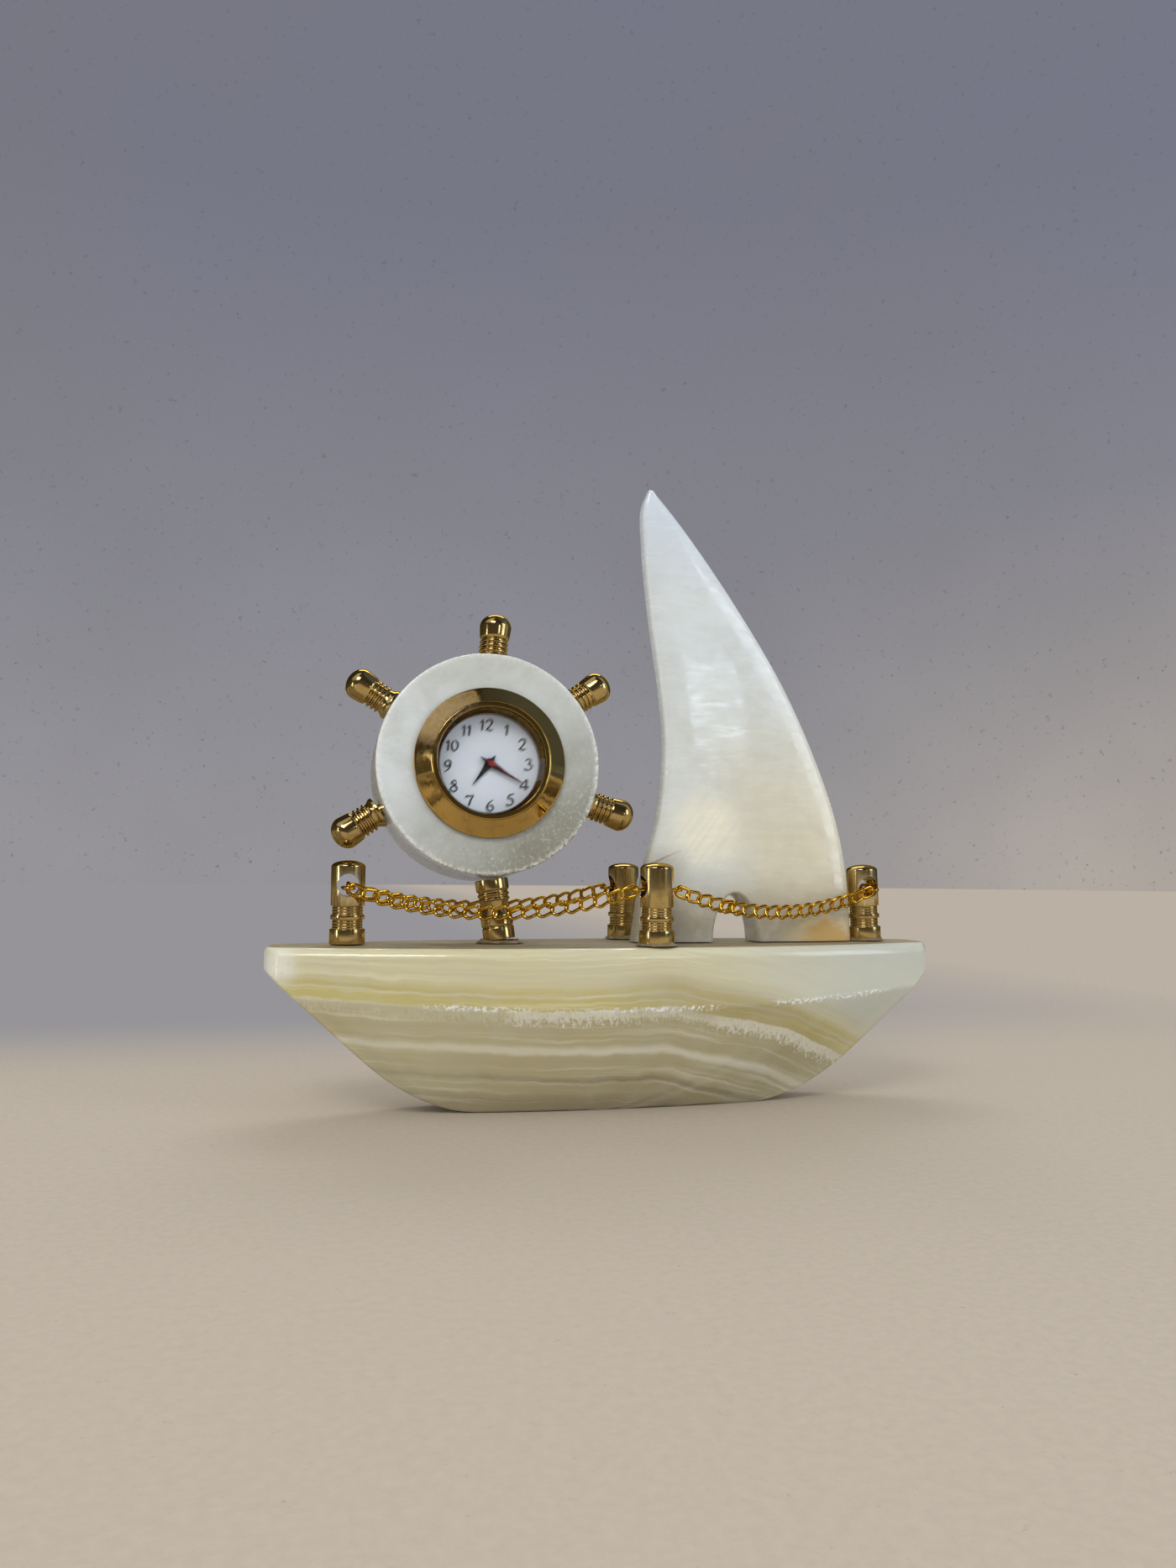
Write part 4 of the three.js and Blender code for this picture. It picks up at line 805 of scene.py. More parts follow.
def sail_onyx(c):
    """Milky onyx, bluish at the tip and buttery low down, with rounded clouds, a painted glow beside
    the ridge, an amber wedge at the leech's foot and a fine crack at the luff's foot. Shadow is
    painted low between the luff and the arch, and shade under the crack."""
    material, where = new_material("sail_onyx")
    x, _, z = separated(where)
    cells = {"Vector": distorted(where, 0.08, 9.0), "Scale": 0.085, "Smoothness": 1.0}
    billow = derived("ShaderNodeTexVoronoi", cells, "Distance", feature="SMOOTH_F1")
    low_right = between(z, 118, 52, smooth=True) * between(z * 0.35 + x, 42, 66, 0.25, 1.0, smooth=True)
    foot = between(z, 61, 43, 0.0, 0.75, smooth=True)
    # Painted shadow low on the sail, between the luff and the arch
    inner = between(x, 21, 10, smooth=True) * between(z, 64, 57)
    brushed = noise(combined((z * -0.75 + x) * 0.5, 0.0, z * 0.06), 1.0, 4.0, 0.65)
    # A painted glow beside the ridge
    glow = near(where, SAIL_GLOW, 3, 13) * between(brushed, 0.36, 0.58, 0.45, 1.0)

    wander = (noise(where, 0.22, 4.0) - 0.5) * 7.0
    wedge_top = 46.5 - calc("ABSOLUTE", x - 55) * 0.5
    inside = wedge_top + wander - z
    amber = between(inside, -2.2, 1.6, smooth=True) * between(x, 40, 47, smooth=True)
    core = between(inside, 0.2, 3.4, smooth=True) * between(x, 46, 53, smooth=True)
    crack_height = (x - 4) * 0.45 + 56.5
    off_crack = calc("ABSOLUTE", z - (wander * 0.12 + crack_height))
    crack = between(off_crack, 0.4, 0.0) * between(x, 17, 12)
    # Painted shade under the crack
    shade_under_crack = between(crack_height - z, 7, 0) * between(x, 20, 10) * calc("LESS_THAN", z, crack_height)

    body = painted(
        c.milk,
        (low_right * 0.95, c.butter),
        (low_right * between(billow, 0.1, 0.62, smooth=True) * 0.32, WARM_SHADE),
        (clouds(where, 0.06, 0.38, 0.66) * 0.2, c.cloud),
        (between(z, 126, 152, 0.0, 0.75), TIP_BLUE),
        (inner * 0.6, FOOT_SHADOW),
        (foot * clouds(where, 0.08, 0.15, 0.55), FOOT_SHADE),
        (glow * 0.95, GLOW),
        (amber * 0.6, c.honey),
        (core * 0.85, c.rust),
        (shade_under_crack * 0.35, c.cloud),
        (crack * 0.6, c.tarnish),
    )
    ribs = noise(combined(x * 0.2, 0.0, z), 0.4, 3.0, 0.55)
    relief = near(where, SAIL_RIBS, 8, 24) * ribs * 0.7 + noise(where, 0.18, 2.0) * 0.8
    return feed(
        material, IOR=1.55, Coat_Weight=0.35, Coat_Roughness=0.04, Subsurface_Weight=0.35,
        Subsurface_Radius=(1.0, 0.95, 0.8), Subsurface_Scale=0.004, Base_Color=body,
        Roughness=between(ribs, 0.4, 0.56, 0.06, 0.34), Normal=bump(relief, 0.35, 0.3),
    )


def ring_onyx(c):
    """Milky onyx with grey clouds, clearer and frosty towards the foot, greenish on the rim, with
    pale chips along the edges of the face. Painted shade greys it towards the right, and the
    clearer, darker stone towards the lower right is partly painted shade too."""
    material, where = new_material("ring_onyx")
    x, y, z = separated(vector_math("SUBTRACT", where, tuple(WHEEL_PLACE)))
    radius = calc("SQRT", x * x + z * z)
    # Clearer stone in noisy patches, and painted shade darkening it towards the lower right
    clear = between(noise(where, 0.09, 3.0) * 22 + z * -0.85 + x * 0.38, -1, 40, smooth=True)
    frost = noise(where, 1.1, 4.0, 0.7)
    flecks = between(frost, 0.52, 0.74) * between(clear, 0.2, 0.8, 0.08, 0.5)
    side = between(y, 0.8, 3.5)
    rim = near_value(radius, RING_EDGE, 0.25, 1.5) * between(frost, 0.42, 0.6)
    body = painted(
        c.milk,
        (clouds(where, 0.07, 0.36, 0.64) * 0.36, c.cloud),
        # Painted shade: greyer towards the right
        (between(z * 0.35 + x, -14, 12, 0.0, 0.2, smooth=True), c.cloud),
        (clear * 0.9, CLEAR_AND_SHADED_STONE),
        (flecks, FROST),
        (side * 0.6, RING_SIDE),
        (rim * (1.0 - side) * 0.7, EDGE_CHIP),
    )
    relief = noise(where, 0.25, 3.0) + frost * either(clear, rim) * 0.5
    return feed(
        material, IOR=1.55, Coat_Weight=0.3, Coat_Roughness=0.08, Subsurface_Weight=0.3,
        Subsurface_Radius=(1.0, 0.97, 0.85), Subsurface_Scale=0.003, Base_Color=body,
        Roughness=flecks * 0.2 + between(clouds(where, 0.3), 0, 1, 0.16, 0.3), Normal=bump(relief, 0.3, 0.3),
    )


def turned_brass(c):
    """Polished brass: fine scratches, dull patches, darker grooves and worn edges."""
    material, where = new_material("turned_brass")
    dull = clouds(where, 0.16, 0.45, 0.72)
    hollow = between(source(material.node_tree, "ShaderNodeNewGeometry", "Pointiness"), 0.49, 0.43)
    scratches = noise(stretched(where, (3.2, 3.2, 0.12)), 1.0, 3.0, 0.6)
    body = painted(
        c.brass,
        (either(dull * 0.5, hollow * 0.9), c.tarnish),
        (between(scratches, 0.5, 0.75, 0.0, 0.25), scaled(c.brass, 0.6)),
        (wear(where, 0.52, 0.6, 1.2) * 0.6, WORN_BRASS),
    )
    return feed(
        material, Metallic=1.0, Specular_Tint=c.brass, Base_Color=body,
        Roughness=dull * 0.1 + between(scratches, 0.35, 0.7, 0.08, 0.16),
        Normal=bump(noise(where, 0.3, 1.0) + scratches * 0.2, 0.08, 0.1),
    )


def metal(name, shade, shade_low, rough_low, rough_high, scale, strength):
    """Plated or rolled metal: two shades and two roughnesses in clouds, with fine scuffs."""
    material, where = new_material(name)
    patch = clouds(where, scale)
    return feed(
        material, Metallic=1.0, Specular_Tint=shade, Base_Color=blend(patch, shade, shade_low),
        Roughness=between(patch, 0, 1, rough_low, rough_high),
        Normal=bump(scuffs(where, 2.0), strength, 0.05),
    )


def bezel_gold(c):
    """Mirror-bright plating with faint mottling and dull specks, and a pinkish painted reflection
    at the upper left, where it is duller too.
    """
    material, where = new_material("bezel_gold")
    patch = clouds(where, 0.3, 0.45, 0.7)
    specks = clouds(where, 1.8, 0.6, 0.74)
    # Painted reflection: a pinkish patch at the upper left, also made rougher
    painted_reflection = near(where, BEZEL_REFLECTION_SPOT, 6, 13) * clouds(where, 0.9, 0.35, 0.6)
    return feed(
        material, Metallic=1.0, Specular_Tint=c.plate,
        Base_Color=painted(c.plate, (patch * 0.35, c.tarnish), (painted_reflection * 0.35, REFLECTION_PINK)),
        Roughness=either(specks, painted_reflection) * 0.2 + between(patch, 0, 1, 0.05, 0.14),
        Normal=bump(noise(where, 0.5, 2.0) + specks * 0.2, 0.1, 0.1),
    )


def lens_glass(c):
    """Clear glass, slightly wavy and filmed. A thin flat pane hardly bends light, so all lamp light
    and most of what is seen goes straight through it."""
    material, where = new_material("lens_glass")
    tree = material.node_tree
    feed(
        material, Base_Color=(0.98, 0.99, 0.99), Metallic=0.0, Roughness=0.0, Transmission_Weight=1.0,
        IOR=1.45, Coat_Roughness=0.12, Coat_Weight=clouds(where, 0.25, 0.45, 0.8) * 0.3,
        Normal=bump(noise(where, 0.2, 1.0), 0.02, 0.02),
    )
    straight = calc("MAXIMUM", source(tree, "ShaderNodeLightPath", "Is Shadow Ray"), STRAIGHT_THROUGH)
    clear = source(tree, "ShaderNodeBsdfTransparent", 0)
    show(tree, "Material Output", mixed_shaders(straight, Field(tree.nodes[SHADER].outputs[0]), clear))
    return material


def moulded(name, shade, rough, variation, scale, relief, coat=0.0):
    """Plastic, lacquer, rubber, card or laminate: one shade with soft patches and a fine skin."""
    material, where = new_material(name)
    patch = clouds(where, scale)
    rubbed = tuple(min(1.0, 1.5 * value + 0.03) for value in shade)
    body = painted(shade, (patch * variation, scaled(shade, 0.55)), (wear(where) * 0.25, rubbed))
    return feed(
        material, Coat_Weight=coat, Coat_Roughness=0.1, Base_Color=body,
        Roughness=between(patch, 0, 1, rough - 0.07, rough + 0.07),
        Normal=bump(noise(where, 4.0, 3.0), relief, 0.06),
    )


def dried_glue(c):
    """Half-clear yellowed glue."""
    material, where = new_material("dried_glue")
    patch = clouds(where, 0.5)
    return feed(
        material, Subsurface_Weight=0.4, Subsurface_Scale=0.002,
        Base_Color=blend(patch, c.glue, scaled(c.glue, 0.6)),
        Roughness=between(patch, 0, 1, 0.15, 0.35), Normal=bump(noise(where, 0.9, 3.0), 0.5, 0.3),
    )


FINISHES = {
    "hull_onyx": hull_onyx,
    "sail_onyx": sail_onyx,
    "ring_onyx": ring_onyx,
    "turned_brass": turned_brass,
    "bezel_gold": bezel_gold,
    "lens_glass": lens_glass,
    "dried_glue": dried_glue,
    "chain_gold": lambda c: metal("chain_gold", c.chain, scaled(c.chain, 0.6), 0.08, 0.18, 0.6, 0.12),
    "collar_gold": lambda c: metal("collar_gold", c.tarnish, scaled(c.tarnish, 0.7), 0.2, 0.34, 0.5, 0.12),
    "gear_brass": lambda c: metal("gear_brass", c.brass, scaled(c.brass, 0.8), 0.22, 0.34, 0.5, 0.2),
    "steel": lambda c: metal("steel", (0.62, 0.62, 0.63), (0.45, 0.45, 0.47), 0.22, 0.36, 0.5, 0.25),
    "copper": lambda c: metal("copper", (0.62, 0.25, 0.11), (0.42, 0.15, 0.07), 0.25, 0.4, 0.9, 0.3),
    "dial_card": lambda c: moulded("dial_card", c.dial, 0.35, 0.08, 0.12, 0.1),
    "black_ink": lambda c: moulded("black_ink", c.ink, 0.3, 0.1, 0.5, 0.1, coat=0.4),
    "red_lacquer": lambda c: moulded("red_lacquer", c.red, 0.25, 0.15, 0.5, 0.1, coat=0.5),
    "black_plastic": lambda c: moulded("black_plastic", c.black, 0.45, 0.2, 0.3, 0.35),
    "rubber": lambda c: moulded("rubber", (0.022, 0.022, 0.022), 0.75, 0.2, 0.4, 0.6),
    "white_plastic": lambda c: moulded("white_plastic", (0.78, 0.77, 0.72), 0.4, 0.08, 0.3, 0.2),
    "board": lambda c: moulded("board", (0.02, 0.1, 0.045), 0.35, 0.3, 0.6, 0.3, coat=0.3),
}


def finish(context, name):
    """A finish by name, made from the scene's colours at its first use."""
    return bpy.data.materials.get(FINISH_NAME + name) or FINISHES[name](sizes(context, "clock_colours"))


# Stone pieces

def hull_shell(s):
    """The hull. Its half section at a station runs from the middle of the deck over the edge, down
    the side to the knuckle, in along the bulged lower side to the keel and back to the middle.
    Deck half breadth falls with a power of the distance from amidships, the keel rises along a
    parabola into a straight rake, and both noses narrow and round off along a quarter ellipse."""
    half_length = s.length / 2
    x = -half_length * np.cos(np.linspace(0, np.pi, 261))
    share = np.abs(x) / half_length
    from_end = half_length - np.abs(x)
    plan = s.end_half + (s.deck_half - s.end_half) * (1 - share ** s.fullness)
    into = np.maximum(0, 1 - from_end / s.nose)
    narrowing = np.sqrt(1 - into ** 2 * (1 - s.nose_share ** 2))
    past = np.abs(x) - s.keel_half
    rise = math.tan(s.rake)
    blended = rise * np.maximum(past + s.rake_blend, 0) ** 2 / (4 * s.rake_blend)
    keel = np.where(past >= s.rake_blend, past * rise, blended)
    knuckle = np.maximum(s.height - s.knuckle_drop + s.knuckle_rise * share ** 2, keel + s.nose_sole)
    lower = knuckle - keel
    breadth = plan + s.edge + s.flare
    foot = breadth - lower * math.tan(s.lean)
    bulge = s.bulge * lower / (s.height - s.knuckle_drop)
    tip = np.clip(1 - from_end / s.nose_round, 0, 1)
    top = s.height - s.nose_round * (1 - np.sqrt(1 - tip ** 2))
    none = 0 * x
    corners = np.stack([
        np.stack(pair, axis=-1) for pair in (
            (none, top), (plan, top), (plan + s.edge, none + s.height - s.edge), (breadth, knuckle),
            ((breadth + foot) / 2 + bulge, (knuckle + keel) / 2), (foot, keel), (none, keel),
        )
    ], axis=1)
    reach = np.array([0.8 * s.edge, 0.8 * s.edge, 1.5, 9, 1.0])
    half = subdivided(eased(corners, reach, 7), 2)
    side = np.stack((
        np.broadcast_to(x[:, None], half.shape[:2]), half[..., 0] * narrowing[:, None], half[..., 1],
    ), axis=-1)
    rings = np.concatenate((side, (side * (1, -1, 1))[:, ::-1]), axis=1)
    flat = (1, 0, 1)
    return grid(np.concatenate((rings[:1] * flat, rings, rings[-1:] * flat)))


# The sail's two edges by place along the hull and height over the deck
LUFF = [
    (4.7, 0), (7.3, 15.8), (11.3, 31), (12.9, 49), (11.7, 64), (9.1, 82), (7.3, 100), (7.1, 110.6),
    (8.7, 115.3),
]
LEECH = [
    (63.3, 0), (62.5, 16), (60.2, 29.3), (55.8, 43), (45.6, 65.2), (32, 86.8), (19.2, 104.2), (12.7, 111.9),
    (9.5, 115.2),
]
# Where the soft ridge runs: shares of the height, and places from -1 at the luff to 1 at the leech
RIDGE_HEIGHTS = [0, 0.206, 0.306, 0.368, 0.49, 0.595, 0.78, 1]
RIDGE_PLACES = [-0.75, -0.5, -0.25, 0.08, 0.3, 0.36, 0.5, 0.5]
# Shares of the height at which the carving starts, the way to its full depth, and the rounded tip
CARVING_START = 0.105
CARVING_GROWTH = 0.26
TIP_SHARE = 0.03


def sail_shell(s, deck):
    """The sail. Each level joins a point of the luff to one of the leech by a rounded section, the
    curve on which the two offsets raised to the squareness add up to one. Past a soft ridge the
    faces fall off towards the leech, and the tip rounds off."""
    levels = 141
    share = np.linspace(0, 1, levels)[:, None]
    left, right = (spline(line, levels)[:, None, :] for line in (LUFF, LEECH))
    sides = 160
    turn = (np.arange(sides) + 0.5) * 2 * np.pi / sides
    cos, sin = np.cos(turn), np.sin(turn)
    size = (np.abs(cos) ** s.squareness + np.abs(sin) ** s.squareness) ** (-1 / s.squareness)
    across, out = size * cos, size * sin
    ridge_at = np.interp(share, RIDGE_HEIGHTS, RIDGE_PLACES)
    fall = np.clip((across - ridge_at) / (1 - ridge_at), 0, 1)
    carved = s.ridge * fall ** 1.1 * np.clip((share - CARVING_START) / CARVING_GROWTH, 0, 1)
    tip = np.clip((share - 1 + TIP_SHARE) / TIP_SHARE, 0, 1)
    half = (s.foot_half + (s.tip_half - s.foot_half) * share) * np.sqrt(1 - 0.75 * tip ** 2)
    spot = left + (right - left) * ((1 + across) / 2)[None, :, None]
    rings = np.stack((spot[..., 0], half * out * (1 - carved), spot[..., 1] + deck), axis=-1)
    flat = (1, 0, 1)
    return grid(np.concatenate((rings[:1] * flat, rings, rings[-1:] * flat)))


# Half the depth of the arch's cutter and of its straight part
ARCH_DEPTH = 7
ARCH_STRAIGHT = 3.9


def arch_cutter(s, deck):
    """The arch: an ellipse carried through the sail, growing by the square of the way past its
    straight part, where it leaves the faces, so that the cut has soft edges."""
    depth = np.linspace(-ARCH_DEPTH, ARCH_DEPTH, 57)[:, None]
    grow = 0.9 * np.clip(np.abs(depth) - ARCH_STRAIGHT, 0, 3) ** 2
    turn = np.arange(120) * 2 * np.pi / 120
    x = s.arch_x + (s.arch_half + grow) * np.cos(turn)
    z = deck + (s.arch_height + grow) * np.sin(turn)
    rings = np.stack((x, depth + 0 * turn, z), axis=-1)
    middle = np.array([s.arch_x, 0, deck])
    ends = [np.broadcast_to(middle + (0, end, 0), rings[:1].shape) for end in (-ARCH_DEPTH, ARCH_DEPTH)]
    return grid(np.concatenate((ends[0], rings, ends[1])))


def ring_shell(s):
    """The wheel's ring: a rectangle with eased corners carried around the wheel's axis."""
    corners = [(s.bore, -s.depth), (s.radius, -s.depth), (s.radius, 0), (s.bore, 0)]
    return turned(subdivided(closed_ring(corners, 1.4 * s.chamfer, 7), 8), 240)


# Brass pieces

def dome(radius, foot, height):
    """Corners of a dome from its edge to its top, a quarter ellipse."""
    turn = np.linspace(0, np.pi / 2, 12)
    return np.stack((radius * np.cos(turn), foot + height * np.sin(turn)), axis=1)


def turned_rings(foot, count, radius, groove, width):
    """Corners of turned rings: a narrow ridge and a wider hollow down to its radius for each ring."""
    start = (foot + np.arange(count) * width)[:, None]
    height = start + width * np.array([0.12, 0.42, 0.58, 0.9])
    reach = np.broadcast_to([radius, radius, groove, groove], height.shape)
    return np.stack((reach, height), axis=-1).reshape(-1, 2)


# Length and radius of the peg that holds a handle in the ring
PEG = 5
PEG_RADIUS = 1.5


def handle_shell(s):
    """A handle turned about Z: peg, flange, hollow neck, three rings and a domed head."""
    groove = s.ring_radius - s.groove
    first = s.handle - s.head - 3 * s.ring_width
    lower = np.array([
        (0, -PEG), (PEG_RADIUS, -PEG), (PEG_RADIUS, 0), (s.flange_radius, 0), (s.flange_radius, s.flange),
        (groove + 0.25, (first + s.flange) / 2), (groove, first),
    ])
    rings = turned_rings(first, 3, s.ring_radius, groove, s.ring_width)
    shoulder = np.array([(s.head_radius - 0.3, first + 3 * s.ring_width + 0.25)])
    head = dome(s.head_radius, s.handle - s.head / 2, s.head / 2)
    corners = np.concatenate((lower, rings, shoulder, head))
    reach = np.concatenate(([0.1, 0.1, 0.15, 0.2, 0.6, 0.2], np.full(12, 0.12), [0.6, 0.9], np.full(10, 0.5)))
    return turned(eased(corners, reach, 6), 96)


def post_shell(s, height):
    """The post under the ring: a drum with one groove, a waist, two rings and a collar."""
    r, groove = s.post_radius, s.post_radius - 0.3
    collar_foot = height - s.post_collar
    rings_foot = collar_foot - 2 * s.ring_width
    drum = 2 * s.post_collar
    lower = np.array([
        (0, 0), (r, 0), (r, s.post_collar), (groove, s.post_collar + 0.3), (r, s.post_collar + 0.6),
        (r, drum), (s.post_neck, (drum + rings_foot) / 2), (groove, rings_foot),
    ])
    rings = turned_rings(rings_foot, 2, r, groove, s.ring_width)
    upper = np.array([
        (s.post_collar_radius, collar_foot + 0.3), (s.post_collar_radius, height), (0, height),
    ])
    return turned(eased(np.concatenate((lower, rings, upper)), 0.18, 6), 96)


def stanchion_shell(s):
    """A stanchion turned about Z: base collar, two necks around a bead, body and domed top."""
    r, neck = s.radius, s.neck_radius
    bead = s.base + s.lower_neck
    body = bead + s.bead + s.upper_neck
    lower = np.array([
        (0, 0), (s.base_radius, 0), (s.base_radius, s.base), (neck, s.base), (neck, bead), (r, bead),
        (r, bead + s.bead), (neck, bead + s.bead), (neck, body), (r, body),
    ])
    below = turned_rings(s.base + 0.1, 3, neck, neck - 0.14, (s.lower_neck - 0.2) / 3)
    above = turned_rings(bead + s.bead + 0.1, 3, neck, neck - 0.1, (s.upper_neck - 0.2) / 3)
    top = dome(r, s.height - s.dome, s.dome)
    corners = np.concatenate((lower[:4], below, lower[4:8], above, lower[8:], top))
    return turned(subdivided(eased(corners, 0.07, 4), 2), 120)


def rod(radius, back, front):
    """A plain cylinder about Z that cuts a cross hole."""
    return turned(np.array([(0, back), (radius, back), (radius, front), (0, front)], float), 72)


def stanchion_places(deck):
    """Foot and side of each stanchion, and whether its hole runs along the hull."""
    return {
        "left": ((-65, 0, deck), False),
        "right": ((68.4, 0, deck), False),
        "front": ((6.8, -15.3, deck), True),
        "back": ((6.8, 15.3, deck), True),
    }


def glue_shell(foot, radius, width, seed):
    """Glue squeezed out around a foot: a low hollow wedge whose width and height wander around it
    by three waves, two of them shifted by the seed."""
    turn = np.arange(96) * 2 * np.pi / 96
    shifted = 0.25 * np.cos(turn * 2 + seed) + 0.15 * np.cos(turn * 5 + 2.3 * seed)
    wander = 0.5 + shifted + 0.1 * np.cos(turn * 9)
    inner = radius + 0.02
    reach = (width + GAP) * (0.55 + 0.45 * wander)
    high = 0.35 + 0.65 * wander
    share = np.linspace(0, 1, 9)[:, None]
    out = inner + reach * (1 - share)
    up = high * share ** 1.8 * 0.95 + 0.05 * high * np.sin(np.pi * share)
    slope = np.stack((out * np.cos(turn), out * np.sin(turn), up), axis=-1)
    under = np.stack((inner * np.cos(turn), inner * np.sin(turn), 0 * turn), axis=-1)[None]
    rings = np.concatenate((under, slope, under))
    points, faces = grid(rings)
    return points + np.asarray(foot), faces


# Chain

def links(centres, along, across, link, twist, s):
    """Links of a chain. Each is a tube around an oval: two straight runs joined by half circles,
    whose wire leaves the link's plane by the sine of twice the turn, times the link's twist."""
    steps, sides = 20, 7
    turn = (np.arange(steps) + 0.5) * 2 * np.pi / steps
    cos, sin = np.cos(turn), np.sin(turn)
    a = np.sign(cos) * (link / 2 - s.bend) + s.bend * cos
    none = 0 * turn
    flat = np.stack((a, s.bend * sin, none), axis=1)
    path = flat + np.reshape(twist, (-1, 1, 1)) * np.stack((none, none, np.sin(2 * turn)), axis=1)
    away = np.stack((cos, sin, none), axis=1)
    wire = np.arange(sides) * 2 * np.pi / sides
    around = away[:, None] * np.cos(wire)[:, None] + UP * np.sin(wire)[:, None]
    tube = path[:, :, None] + s.wire * around
    tube = np.broadcast_to(tube, (len(centres), *tube.shape[1:]))
    axes = np.stack((along, across, np.cross(along, across)), axis=1)
    rings = centres[:, None, None, :] + np.einsum("npsk,nkj->npsj", tube, axes)
    rings = np.concatenate((rings, rings[:, :1]), axis=1)
    one = quads(steps + 1, sides)
    starts = np.arange(len(centres)) * (steps + 1) * sides
    return rings.reshape(-1, 3), (one[None] + starts[:, None, None]).reshape(-1, 4)


def eye_level(s, posts, deck):
    """Level of the links in the eyes, which hang on the eyes' lower edge."""
    return deck + posts.height - posts.eye_drop - (posts.eye_radius - s.bend - s.wire - GAP)


def eye_links(s, foot, along_hull, level):
    """Three links that lie in a stanchion's eye: one upright between two that lie flat."""
    along = np.array([1.0, 0, 0]) if along_hull else np.array([0, 1.0, 0])
    middle = np.array([foot[0], foot[1], level])
    centres = middle + np.array([-1, 0, 1])[:, None] * along * (s.eye_link - s.eye_grip)
    across = np.stack([np.cross(UP, along), UP, np.cross(UP, along)])
    return links(centres, np.broadcast_to(along, (3, 3)), across, s.eye_link, 0, s)


def swag_links(s, start, end, sag):
    """A swag: links in even steps along the parabola between two hooks, each slanted in its plane.
    Slant and twist fade out towards the two end links, which hang straight in the eyes."""
    share = np.linspace(0, 1, 400)[:, None]
    line = start + (end - start) * share - UP * 4 * sag * share * (1 - share)
    way = np.concatenate(([0], np.cumsum(np.linalg.norm(np.diff(line, axis=0), axis=1))))
    count = int(round((way[-1] - s.link) / s.pitch)) + 1
    first = np.arange(count) * (way[-1] - s.link) / (count - 1)

    def at(distance):
        return np.stack([np.interp(distance, way, line[:, k]) for k in range(3)], axis=1)

    head, tail = at(first), at(first + s.link)
    along = (tail - head) / np.linalg.norm(tail - head, axis=1, keepdims=True)
    across = UP - along * along[:, 2:]
    across = across / np.linalg.norm(across, axis=1, keepdims=True)
    from_end = np.minimum(np.arange(count), np.arange(count)[::-1])[:, None]
    fade = np.clip(from_end / 2, 0, 1)
    sin, cos = np.sin(s.slant * fade), np.cos(s.slant * fade)
    middle = (head + tail) / 2
    return links(middle, along * cos + across * sin, across * cos - along * sin, s.link, s.twist * fade, s)


# Clock insert, drawn in the ring's frame with Z out of its face

DIAL_FACE = -1.0
DIAL_BACK = -1.4
DIAL_HOLE = 0.88
BEZEL_BACK = -1.3
LENS_FRONT = 3.55
KNOB_PLACE = (0, -6, 0)
KNOB_BACK = -15.9
KNOB_FRONT = -14.3


def bezel_shell(s):
    rim, socket = GAP + s.bezel_rim, s.lens_radius + GAP
    corners = [
        (s.cup_radius, BEZEL_BACK), (s.cup_radius, GAP), (s.bezel_radius, GAP), (s.bezel_radius, rim - 0.2),
        (s.bezel_radius - 0.35, rim), (s.lip_radius + 0.25, s.lip - 0.3), (s.lip_radius, s.lip),
        (s.opening, s.lip), (s.opening, s.lip - 0.25), (socket, s.lip - 0.25), (socket, BEZEL_BACK),
    ]
    return turned(closed_ring(corners, 0.12, 5), 256)


def lens_shell(s):
    back = LENS_FRONT - s.lens_thickness
    corners = [(0, back), (s.lens_radius, back), (s.lens_radius, LENS_FRONT), (0, LENS_FRONT)]
    return turned(eased(np.array(corners, float), 0.12, 4), 160)


def collar_shell(s):
    back = LENS_FRONT - s.lens_thickness - GAP
    level = DIAL_FACE + GAP
    corners = [
        (s.lens_radius, level), (s.lens_radius, back), (s.opening, back), (s.dial_view + 0.35, 0.35),
        (s.dial_view, level),
    ]
    return turned(closed_ring(corners, 0.1, 4), 192)


def dial_shell(s):
    corners = [
        (DIAL_HOLE, DIAL_BACK), (s.lens_radius, DIAL_BACK), (s.lens_radius, DIAL_FACE),
        (DIAL_HOLE, DIAL_FACE),
    ]
    return turned(closed_ring(corners, 0.05, 3), 160)


